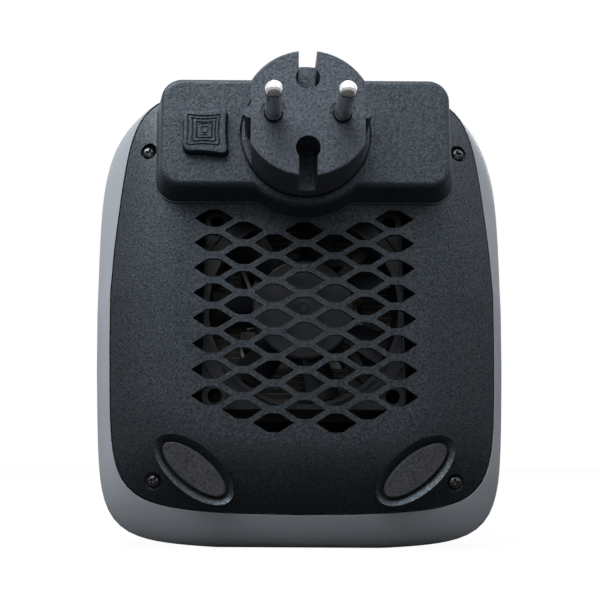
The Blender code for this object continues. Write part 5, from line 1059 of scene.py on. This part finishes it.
class HEATER_OT_power_button(bpy.types.Operator):
    """Square button with drawn-in sides, nested grooves and a small raised square"""

    bl_idname = "heater.power_button"
    bl_label = "Power button"

    def execute(self, context):
        button, edge = sizes("button"), 0.0004
        top_y, base_y = BOX_FACE_Y + button.stand, BOX_FACE_Y - 0.0028
        flange = button_outline(0.0008)
        rings = [(flange, base_y - 0.0004), (flange, base_y), (button_outline(0.0), base_y)]
        for s, c in quarter(4):
            rings.append((button_outline(-edge * (1 - c)), top_y - edge + edge * s))
        groove = ((0.0, 0.0), (0.00012, 0.00035), (0.00032, 0.00038), (0.00044, 0.0))
        for i in range(button.grooves):
            rings += [(groove_outline(i, -inset), top_y - depth) for inset, depth in groove]
        obj = shown("power_button_cap", lofted(rings))
        fused(obj, [rod(0.0017, button.x, PLUG_Z, base_y, base_y - 0.0045, 24)])
        # The mark: a small raised square between two short bars.
        x, z = button.x + 0.0001, PLUG_Z + 0.0002
        marks = [rounded_box(0.0011, 0.0011, 0.0003, x, z, 3)]
        for rise, half in ((0.0020, 0.0016), (-0.0014, 0.0008)):
            marks.append(rounded_box(half, 0.00016, 0.0001, x, PLUG_Z + rise, 2))
        cut(obj, [plate(mark, top_y + OVERCUT, top_y - 0.0003) for mark in marks])
        square = rounded_box(0.00075, 0.00075, 0.00015, x, z, 3)
        fused(obj, [plate(square, top_y, top_y - 0.0006)])
        softened(obj, 0.00006, 1, 60)
        finished(obj, "power_button", "box finish", ["power_button"])
        return {"FINISHED"}


# Plug, screws and pads


def keyhole(direction):
    plug = sizes("plug")
    half = plug.slot_width / 2
    centre_z = PLUG_Z + direction * plug.keyhole_offset
    end_z = PLUG_Z + direction * (plug.radius + OVERCUT)
    spread = asin(half / plug.keyhole_radius)
    start = direction * pi / 2 + spread
    outline = arc(0, centre_z, plug.keyhole_radius, start, start + tau - 2 * spread, 28)
    outline += [(direction * half, end_z), (-direction * half, end_z)]
    return plate(outline, FACE_Y + OVERCUT, FACE_Y - plug.keyhole_depth)


def side_flat(side):
    """What is cut from one side of the plug: a flat that leaves a short rib at its middle."""
    plug = sizes("plug")
    rib, reach, chamfer, outside = 0.00165, 0.0176, 0.0009, plug.radius + OVERCUT
    points = [(plug.flat, outside), (plug.flat, rib), (reach - chamfer, rib)]
    points += [(reach, rib - chamfer), (reach, chamfer - rib), (reach - chamfer, -rib)]
    points += [(plug.flat, -rib), (plug.flat, -outside), (outside, -outside), (outside, outside)]
    outline = [(side * x, z + PLUG_Z) for x, z in points][::side]
    return plate(outline, FACE_Y + OVERCUT, FACE_Y - plug.flat_depth)


class HEATER_OT_plug(bpy.types.Operator):
    """Round plug with side flats, ribs and keyhole slots, and its two nickel pins"""

    bl_idname = "heater.plug"
    bl_label = "Plug and pins"

    def execute(self, context):
        plug, edge = sizes("plug"), 0.0005
        inner = plug.radius - plug.draft - edge
        flange, flange_y = sizes("box").collar_radius - 0.0015, BOX_FACE_Y - 0.0023
        profile = [(0, FACE_Y)]
        profile += [(inner + edge * s, FACE_Y - edge * (1 - c)) for s, c in quarter(5)]
        profile += [(plug.radius, flange_y), (flange, flange_y)]
        profile += [(flange, flange_y - 0.002), (0, flange_y - 0.002)]
        obj = shown("plug_body_moulded", turned(profile, 0, PLUG_Z, 128))
        wide, narrow, well_y = 0.00365, 0.0027, FACE_Y - 0.0009
        end_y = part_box("slip_ring_outer")[1].y + 0.002 - 0.006
        well = [(0, FACE_Y + OVERCUT), (wide, FACE_Y + OVERCUT), (wide, well_y)]
        well += [(narrow, well_y), (narrow, end_y), (0, end_y)]
        radius, foot_y = plug.pin_radius, FACE_Y - 0.018
        pin = [(radius * s, PIN_TIP_Y - radius * (1 - c)) for s, c in quarter(12)]
        pin += [(radius, foot_y), (0, foot_y)]
        places = [side * plug.pin_spacing / 2 for side in (1, -1)]
        cuts = [side_flat(1), side_flat(-1), keyhole(1), keyhole(-1)]
        cut(obj, cuts + [turned(well, x, PLUG_Z) for x in places])
        softened(obj, 0.00022, 2, 50)
        finished(obj, "plug", "plug finish", ["plug_body"])
        pair = shown("plug_pins_polished", joined([turned(pin, x, PLUG_Z) for x in places]))
        names = ["plug_pin_left", "plug_pin_right"]
        finished(pair, "plug", "nickel finish", names, 60)
        return {"FINISHED"}


class HEATER_OT_case_screws(bpy.types.Operator):
    """Four cross-head screws at the bottom of their wells, their steel darkened as painted shade of
    the wells
    """

    bl_idname = "heater.case_screws"
    bl_label = "Case screws"

    def execute(self, context):
        low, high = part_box("case_screw_top_left")
        top = high.y
        head, shank, under = 0.0019, 0.0011, top - 0.0014
        profile = [(0, top), (shank, top - 0.00008), (0.0016, top - 0.0003)]
        profile += [(head, top - 0.0008), (head, under), (shank, under)]
        profile += [(shank, low.y + 0.001), (0, low.y)]
        screw = shown("screw_pattern", turned(profile, 0, 0, 40))
        wide, thin = 0.00135, 0.00032
        outline = [(wide, -thin), (wide, thin), (-wide, thin), (-wide, -thin)]
        deep = [(x * 0.45, z) for x, z in outline]
        arm = lofted([(deep, top - 0.0011), (outline, top + 0.0002)])
        for turn in (0, pi / 2):
            cut(screw, [moved(arm, Matrix.Rotation(turn, 4, "Y"))])
        softened(screw, 0.00006, 1, 55)
        (high_x, high_z), (low_x, low_z) = SCREWS
        mesh = repeated(
            taken(screw),
            corner_tree("dark steel finish"),
            High_place=(high_x, 0.0, high_z),
            Low_place=(low_x, 0.0, low_z),
            Seed=4,
        )
        ends = ("top_left", "top_right", "bottom_left", "bottom_right")
        names = ["case_screw_" + end for end in ends]
        obj = shown("case_screws_fitted", mesh)
        finished(obj, "heater_body", "dark steel finish", names)
        return {"FINISHED"}


class HEATER_OT_foot_pads(bpy.types.Operator):
    """Two oval rubber pads"""

    bl_idname = "heater.foot_pads"
    bl_label = "Rubber pads"

    def execute(self, context):
        meshes, edge = [], 0.0005
        for side, name in PADS:
            low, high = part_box(name)
            place = (side * PAD_TILT, *middle(name))
            rings = [(oval(*PAD, *place), low.y)]
            for s, c in quarter(5):
                inset = edge * (1 - c)
                outline = oval(PAD[0] - inset, PAD[1] - inset, *place)
                rings.append((outline, high.y - edge + edge * s))
            meshes.append(lofted(rings))
        obj = shown("foot_pads_rubber", joined(meshes))
        names = ["foot_pad_left", "foot_pad_right"]
        finished(obj, "heater_body", "rubber finish", names)
        return {"FINISHED"}


# Fan


def drum(radius, back_y, front_y):
    """A turned body about the fan's axis."""
    profile = [(0, back_y), (radius, back_y), (radius, front_y), (0, front_y)]
    return turned(profile, 0, FAN_Z, 96)


class HEATER_OT_fan(bpy.types.Operator):
    """Square fan frame with ringed corner holes, and the wheel with its curved blades"""

    bl_idname = "heater.fan"
    bl_label = "Fan"

    def execute(self, context):
        self.frame(sizes("fan"))
        self.wheel(sizes("fan"))
        return {"FINISHED"}

    def frame(self, fan):
        half, offset, tube, hole = fan.half_width, fan.hole_offset, 0.0035, 0.00215
        bore, waist, pocket = half - FAN_WALL, half + 0.001, half - 0.0007
        back_y, front_y = FAN_BACK_Y + OVERCUT, FAN_FRONT_Y - OVERCUT
        square = rounded_box(half, half, 0.003, 0, FAN_Z, 6)
        obj = shown("fan_frame_moulded", plate(square, FAN_BACK_Y, FAN_FRONT_Y))
        square = rounded_box(waist, waist, 0.003, 0, FAN_Z)
        cut(obj, [plate(square, FAN_BACK_Y - 0.0026, FAN_FRONT_Y + 0.0026)])
        fused(obj, [drum(bore + 0.0013, FAN_BACK_Y, FAN_FRONT_Y)])
        sides = [(x, z) for x in (1, -1) for z in (1, -1)]
        corners = [(x * offset, FAN_Z + z * offset) for x, z in sides]
        fused(obj, [rod(tube, *corner, FAN_BACK_Y, FAN_FRONT_Y) for corner in corners])
        bores = [drum(bore, back_y, front_y)]
        bores += [rod(hole, *corner, back_y, FAN_FRONT_Y + 0.0008, 28) for corner in corners]
        # Recessed corners leave the holes standing as rings, with a rib beside each.
        square = rounded_box(pocket, pocket, 0.0024, 0, FAN_Z, 6)
        recess = shown("fan_pocket", plate(square, back_y, FAN_BACK_Y - 0.0013))
        low_y, high_y = FAN_BACK_Y - 0.002, FAN_BACK_Y + 0.002
        standing = [rod(bore + 0.0012, 0, FAN_Z, high_y, low_y, 96)]
        for (side, rise), corner in zip(sides, corners):
            standing.append(rod(tube, *corner, high_y, low_y))
            lean = Matrix.Rotation(side * rise * atan2(0.0062, 0.0044), 4, "Y")
            place = Matrix.Translation((side * 0.0271, 0, FAN_Z + rise * 0.0199)) @ lean
            rib = block((-0.0038, low_y, -0.0003), (0.0038, high_y, 0.0003))
            standing.append(moved(rib, place))
        cut(recess, standing, crossing=True)
        cut(obj, bores + [taken(recess)])
        strut = block((0.003, FAN_FRONT_Y, -STRUT), (bore + 0.0006, FAN_FRONT_Y + STRUT, STRUT))
        tree, turn = ring_tree("fan finish"), pi / 4
        struts = repeated(strut, tree, Count=4, Start_angle=turn, Centre=(0.0, 0.0, FAN_Z))
        fused(obj, [struts])
        foot_y, mount_y, hub = FAN_FRONT_Y + 0.0003, FAN_FRONT_Y + 0.0016, fan.hub_radius - 0.0007
        profile = [(0, mount_y + 0.0085), (0.0032, mount_y + 0.0085), (0.0032, mount_y)]
        profile += [(hub, mount_y), (hub, foot_y), (0, foot_y)]
        fused(obj, [turned(profile, 0, FAN_Z)])
        low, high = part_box("fan_bearing")
        radius = (high.x - low.x) / 2 + 0.0003
        cut(obj, [rod(radius, 0, FAN_Z, mount_y + 0.01, FAN_FRONT_Y + 0.0008)])
        softened(obj, 0.0002, 2, 50)
        finished(obj, "heater_body", "fan finish", ["fan_frame"])

    def wheel(self, fan):
        back_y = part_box("fan_impeller")[1].y
        front_y = FAN_FRONT_Y + STRUT + 0.0012
        radius, edge = fan.hub_radius, 0.0012
        profile = [(0, back_y), (0.0012, back_y), (0.00135, back_y - 0.0003)]
        profile += [(0.0017, back_y - 0.0003), (0.00185, back_y)]
        profile += [(radius - edge + edge * s, back_y - edge * (1 - c)) for s, c in quarter(5)]
        profile += [(radius, front_y), (radius - edge, front_y)]
        profile += [(radius - edge, back_y - edge), (0, back_y - edge)]
        tip = fan.half_width - FAN_WALL - 0.0009
        blade = self.blade(radius - 0.0006, tip, (back_y + front_y) / 2)
        tree, centre = ring_tree("fan finish"), (0.0, 0.0, FAN_Z)
        blades = repeated(blade, tree, Count=fan.blades, Start_angle=0.0, Centre=centre)
        obj = shown("fan_wheel_moulded", turned(profile, 0, FAN_Z, 64))
        fused(obj, [blades])
        finished(obj, "fan_rotor", "fan finish", ["fan_impeller"])

    def blade(self, root, tip, middle_y):
        """One curved blade, steeper at its root."""
        bm, rows, chord, bulge = bmesh.new(), [], 0.0125, 0.0009
        for out in (i / 8 for i in range(9)):
            radius = root + (tip - root) * out
            pitch = radians(52.0 - 20.0 * out)
            row = []
            for j in range(9):
                along = chord * (j / 8 - 1 / 2)
                camber = bulge * (1 - (2 * j / 8 - 1) ** 2)
                across = (along * cos(pitch) - camber * sin(pitch)) / radius
                y = middle_y + along * sin(pitch) + camber * cos(pitch)
                row.append(bm.verts.new((radius * cos(across), y, radius * sin(across))))
            rows.append(row)
        for first, second in zip(rows, rows[1:]):
            for j in range(8):
                bm.faces.new((first[j], first[j + 1], second[j + 1], second[j]))
        obj = shown("blade_pattern", mesh_from(bm))
        return taken(modified(obj, "SOLIDIFY", thickness=0.001, offset=0))


# Front: outlet grille, window and small buttons


class HEATER_OT_front_grille(bpy.types.Operator):
    """Outlet grille: a frame, level slats and upright ribs behind them"""

    bl_idname = "heater.front_grille"
    bl_label = "Outlet grille"

    def execute(self, context):
        depth = 0.0045
        back_y = FRONT_Y + depth
        obj = shown("outlet_grille_moulded", plate(grille_outline(0.0), back_y, FRONT_Y))
        cut(obj, [plate(grille_outline(-BORDER), back_y + OVERCUT, FRONT_Y - OVERCUT)])
        lip_y = FRONT_Y + sizes("body").wall + CLEARANCE
        lip = shown("lip_pattern", plate(grille_outline(0.002), lip_y + 0.0012, lip_y))
        cut(lip, [plate(grille_outline(-BORDER / 2), lip_y + 0.002, lip_y - OVERCUT)])
        fused(obj, [taken(lip)])
        half_width = GRILLE_HIGH.x - 0.002 - BORDER + 0.0008
        half_height = (GRILLE_HIGH.z - GRILLE_LOW.z) / 2 - 0.002 - BORDER
        count = sizes("fan").slats
        pitch = 2 * half_height / (count + 1)
        reach, thin = 0.0019, 0.0005
        slat = block((-half_width, -reach, -thin), (half_width, reach, thin))
        slats = repeated(
            moved(slat, Matrix.Rotation(radians(34.0), 4, "X")),
            row_tree("grille finish"),
            Count=count,
            Start=(0.0, FRONT_Y + depth / 2, FAN_Z - half_height + pitch),
            Step=(0.0, 0.0, pitch),
        )
        thin = 0.0008
        low = (-thin, back_y - 0.0022, FAN_Z - half_height - thin)
        ribs = repeated(
            block(low, (thin, back_y - 0.0002, FAN_Z + half_height + thin)),
            row_tree("grille finish"),
            Count=5,
            Start=(-half_width * 2 / 3, 0.0, 0.0),
            Step=(half_width / 3, 0.0, 0.0),
        )
        fused(fused(obj, [slats]), [ribs])
        softened(obj, 0.0002, 1, 50)
        finished(obj, "heater_body", "grille finish", ["front_grille"])
        return {"FINISHED"}


class HEATER_OT_front_controls(bpy.types.Operator):
    """Smoked window and the three small buttons below it, marked minus, ring and plus"""

    bl_idname = "heater.front_controls"
    bl_label = "Window and small buttons"

    def execute(self, context):
        edge, flange_y = 0.0005, FRONT_Y + 0.0027
        rings = []
        for s, c in quarter(5):
            rings.append((window_outline(-edge * (1 - s)), WINDOW_LOW.y + edge * (1 - c)))
        wide = window_outline(0.0014)
        rings += [(window_outline(0.0), flange_y), (wide, flange_y), (wide, WINDOW_HIGH.y)]
        window = shown("display_window_smoked", lofted(rings))
        finished(window, "heater_body", "window finish", ["display_window"])
        for name in FRONT_BUTTONS:
            self.button(name, middle(name)[0], FRONT_BUTTON_Z)
        return {"FINISHED"}

    def button(self, name, x, z):
        low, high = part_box(name)
        radius, edge, front = 0.0033, 0.0005, low.y
        lip_y, mark = FRONT_Y + sizes("body").wall + CLEARANCE, (front - OVERCUT, front + 0.0004)
        back_y = lip_y + 0.0008
        dip, rise = 0.00025, 0.00012
        profile = [(0, front + dip)]
        for step in range(1, 5):
            profile.append((radius * 0.78 * step / 4, front + dip - rise * (step / 4) ** 2))
        profile += [(radius - edge + edge * s, front + edge * (1 - c)) for s, c in quarter(4)]
        profile += [(radius, lip_y), (radius + 0.0009, lip_y), (radius + 0.0009, back_y)]
        profile += [(0.0012, back_y), (0.0012, high.y), (0, high.y)]
        obj = shown(name + "_cap", turned(profile, x, z))
        if name == "button_mode":
            ring = [(0.0008, mark[0]), (0.0012, mark[0]), (0.0012, mark[1]), (0.0008, mark[1])]
            cut(obj, [turned(ring, x, z, 32, closed=True)])
        else:
            self.bar(obj, x, z, mark, 0.0012, 0.0002)
        if name == "button_raise":
            self.bar(obj, x, z, mark, 0.0002, 0.0012)
        finished(obj, name, "grille finish", [name])

    def bar(self, obj, x, z, mark, wide, tall):
        cut(obj, [block((x - wide, mark[0], z - tall), (x + wide, mark[1], z + tall))])


# Inner parts keep their CAD shape and get their finishes

INNER_FINISHES = {
    "board finish": ("display_board", "power_board"),
    "blue case finish": ("relay", "terminal_block"),
    "grille finish": ("digit_display", "capacitor", "board_link", "heater_frame", "power_switch"),
    "steel finish": (
        "power_board_screw_left", "power_board_screw_right", "frame_screw_left",
        "frame_screw_right", "fan_screw_left", "fan_screw_right", "box_screw_top",
        "box_screw_bottom", "thermal_fuse", "fan_magnet", "fan_shaft",
    ),
    "ceramic finish": ("heating_bar_1", "heating_bar_2"),
    "aluminium finish": ("heater_fins_1", "heater_fins_2", "heater_fins_3", "thermal_cutout"),
    "mica finish": ("element_carrier_back", "element_carrier_front", "contact_carrier"),
    "brass finish": ("slip_ring_outer", "slip_ring_inner", "fan_bearing"),
    "copper finish": ("fan_stator",),
    "red lead finish": ("heater_lead_left", "heater_lead_right", "fan_lead"),
    "brown lead finish": ("live_lead", "switched_lead"),
    "blue lead finish": ("neutral_lead",),
}


class HEATER_OT_inner_parts(bpy.types.Operator):
    """Finishes of the boards, element, leads and other parts inside"""

    bl_idname = "heater.inner_parts"
    bl_label = "Inner parts"

    def execute(self, context):
        for finish, nodes in INNER_FINISHES.items():
            for name in nodes:
                for slot in frame["nodes"][name].material_slots:
                    slot.material = material(finish)
        return {"FINISHED"}


# Studio


def lamp(name, power, size, place):
    """A soft lamp that points at the middle of the heater."""
    clear(bpy.data.objects, name)
    data = bpy.data.lights.new(name, "AREA")
    data.shape, data.energy = "RECTANGLE", power
    data.size, data.size_y = size
    obj = bpy.data.objects.new(name, data)
    obj.location = place
    aim = Vector((0, 0, 0.07)) - Vector(place)
    obj.rotation_euler = aim.to_track_quat("-Z", "Y").to_euler()
    bpy.context.scene.collection.objects.link(obj)


class HEATER_OT_stage(bpy.types.Operator):
    """Pale floor, white surroundings, soft lamps and the camera of the photograph"""

    bl_idname = "heater.stage"
    bl_label = "Studio"

    def execute(self, context):
        studio = sizes("studio")
        self.floor()
        self.surroundings()
        lamp("key_lamp", studio.key_power, (1.5, 1.1), (0.50, 0.79, 1.22))
        lamp("fill_lamp", studio.fill_power, (0.7, 0.7), (-0.95, 0.65, 0.95))
        lamp("front_lamp", studio.front_power, (0.9, 0.9), (-0.35, -1.0, 0.90))
        self.camera(studio.lens)
        context.scene.view_settings.view_transform = "Standard"
        return {"FINISHED"}

    def floor(self):
        bm = bmesh.new()
        bmesh.ops.create_grid(bm, x_segments=1, y_segments=1, size=4.0)
        obj = shown("floor", mesh_from(bm))
        finish = Finish("floor finish", (0.9, 0.9, 0.9), 0.8)
        calc, rays = finish.calc, finish.add("ShaderNodeLightPath").outputs
        camera, glossy = rays["Is Camera Ray"], rays["Is Glossy Ray"]
        # The camera sees it white. It throws little light back on the heater.
        shade = finish.ranged(glossy, 0.16, 0.02, 0.0, 1.0)
        finish.set("Base Color", calc("MAXIMUM", shade, calc("MULTIPLY", camera, 0.9)))
        # Reflections show it dark near the heater and white further out.
        distance = finish.add("ShaderNodeVectorMath", {"operation": "LENGTH"}, i0=finish.place)
        far = finish.ranged(distance.outputs["Value"], 0.0, 0.7, 0.35, 1.0)
        reflected = calc("MAXIMUM", calc("MULTIPLY", glossy, far), rays["Is Transmission Ray"])
        amount = calc("MAXIMUM", calc("MULTIPLY", camera, 0.96), reflected)
        ends = {"i1": finish.shader.outputs[0], "i2": finish.add("ShaderNodeEmission").outputs[0]}
        mix = finish.add("ShaderNodeMixShader", i0=amount, **ends)
        finish.link(mix.outputs[0], finish.tree.nodes["Material Output"].inputs["Surface"])
        obj.data.materials.append(finish.material)

    def surroundings(self):
        world = bpy.data.worlds.new("studio")
        world.use_nodes = True
        world.node_tree.nodes.clear()
        room = Nodes(world.node_tree)
        rays = room.add("ShaderNodeLightPath").outputs
        seen = room.add("ShaderNodeBackground", Color=(1.0, 1.0, 1.0, 1.0))
        # Everything but the camera sees a room that is dark low down and pale overhead, whiter
        # in reflections.
        direction = room.add("ShaderNodeTexCoord").outputs["Generated"]
        height = room.add("ShaderNodeSeparateXYZ", i0=direction).outputs[2]
        plain = room.ranged(height, 0.01, 0.6, 0.05, 0.60, "SMOOTHSTEP")
        shiny = room.ranged(height, 0.01, 0.9, 0.0, 0.26, "SMOOTHSTEP")
        pick = room.add("ShaderNodeMix", i0=rays["Is Glossy Ray"], i2=plain, i3=shiny).outputs[0]
        around = room.add("ShaderNodeBackground", Color=(0.93, 0.96, 1.0, 1.0), Strength=pick)
        ends = {"i1": around.outputs[0], "i2": seen.outputs[0]}
        mix = room.add("ShaderNodeMixShader", i0=rays["Is Camera Ray"], **ends)
        room.add("ShaderNodeOutputWorld", Surface=mix.outputs[0])
        bpy.context.scene.world = world

    def camera(self, lens):
        """The photograph's viewpoint, worked out from the plug, the holes and the fan."""
        yaw, pitch, roll = radians(-0.135), radians(12.719), radians(0.312)
        forward = Vector((sin(yaw) * cos(pitch), -cos(yaw) * cos(pitch), sin(pitch)))
        right = Vector((-cos(yaw), -sin(yaw), 0.0))
        up = right.cross(forward)
        rolled_right = cos(roll) * right + sin(roll) * up
        rolled_up = -sin(roll) * right + cos(roll) * up
        data = bpy.data.cameras.new("camera")
        data.lens, data.sensor_width, data.clip_start = lens, 36.0, 0.01
        data.shift_x, data.shift_y = 0.0507, -0.0997
        obj = bpy.data.objects.new("camera", data)
        rows = Matrix((rolled_right, rolled_up, -forward)).transposed()
        obj.matrix_world = Matrix.Translation((0.01099, 0.28694, 0.02488)) @ rows.to_4x4()
        bpy.context.scene.collection.objects.link(obj)
        bpy.context.scene.camera = obj


OPERATORS = (
    HEATER_OT_front_housing,
    HEATER_OT_back_cover,
    HEATER_OT_switch_box,
    HEATER_OT_power_button,
    HEATER_OT_plug,
    HEATER_OT_case_screws,
    HEATER_OT_foot_pads,
    HEATER_OT_fan,
    HEATER_OT_front_grille,
    HEATER_OT_front_controls,
    HEATER_OT_inner_parts,
    HEATER_OT_stage,
)
GROUPS = {
    "heater_colours": HeaterColours,
    "heater_body": HeaterBody,
    "heater_cover": HeaterCover,
    "heater_holes": HeaterHoles,
    "heater_box": HeaterBox,
    "heater_plug": HeaterPlug,
    "heater_button": HeaterButton,
    "heater_fan": HeaterFan,
    "heater_studio": HeaterStudio,
}


class HEATER_PT_panel(bpy.types.Panel):
    """Lists the heater's pieces in the order in which they are made"""

    bl_label = "Plug-in fan heater"
    bl_idname = "HEATER_PT_panel"
    bl_space_type = "VIEW_3D"
    bl_region_type = "UI"
    bl_category = "Fan heater"

    def draw(self, context):
        for operator in OPERATORS:
            self.layout.operator(operator.bl_idname)
        for name in GROUPS:
            group = getattr(context.scene, name)
            column = self.layout.box().column()
            for key in group.bl_rna.properties.keys():
                if key not in ("name", "rna_type"):
                    column.prop(group, key)


CLASSES = (*GROUPS.values(), *OPERATORS, HEATER_PT_panel)


def register():
    for kind in CLASSES:
        bpy.utils.register_class(kind)
    for name, group in GROUPS.items():
        setattr(bpy.types.Scene, name, PointerProperty(type=group))


def unregister():
    for name in GROUPS:
        delattr(bpy.types.Scene, name)
    for kind in reversed(CLASSES):
        bpy.utils.unregister_class(kind)


def main():
    register()
    bpy.ops.heater.front_housing()
    bpy.ops.heater.back_cover()
    bpy.ops.heater.switch_box()
    bpy.ops.heater.power_button()
    bpy.ops.heater.plug()
    bpy.ops.heater.case_screws()
    bpy.ops.heater.foot_pads()
    bpy.ops.heater.fan()
    bpy.ops.heater.front_grille()
    bpy.ops.heater.front_controls()
    bpy.ops.heater.inner_parts()
    bpy.ops.heater.stage()


if __name__ == "__main__":
    main()
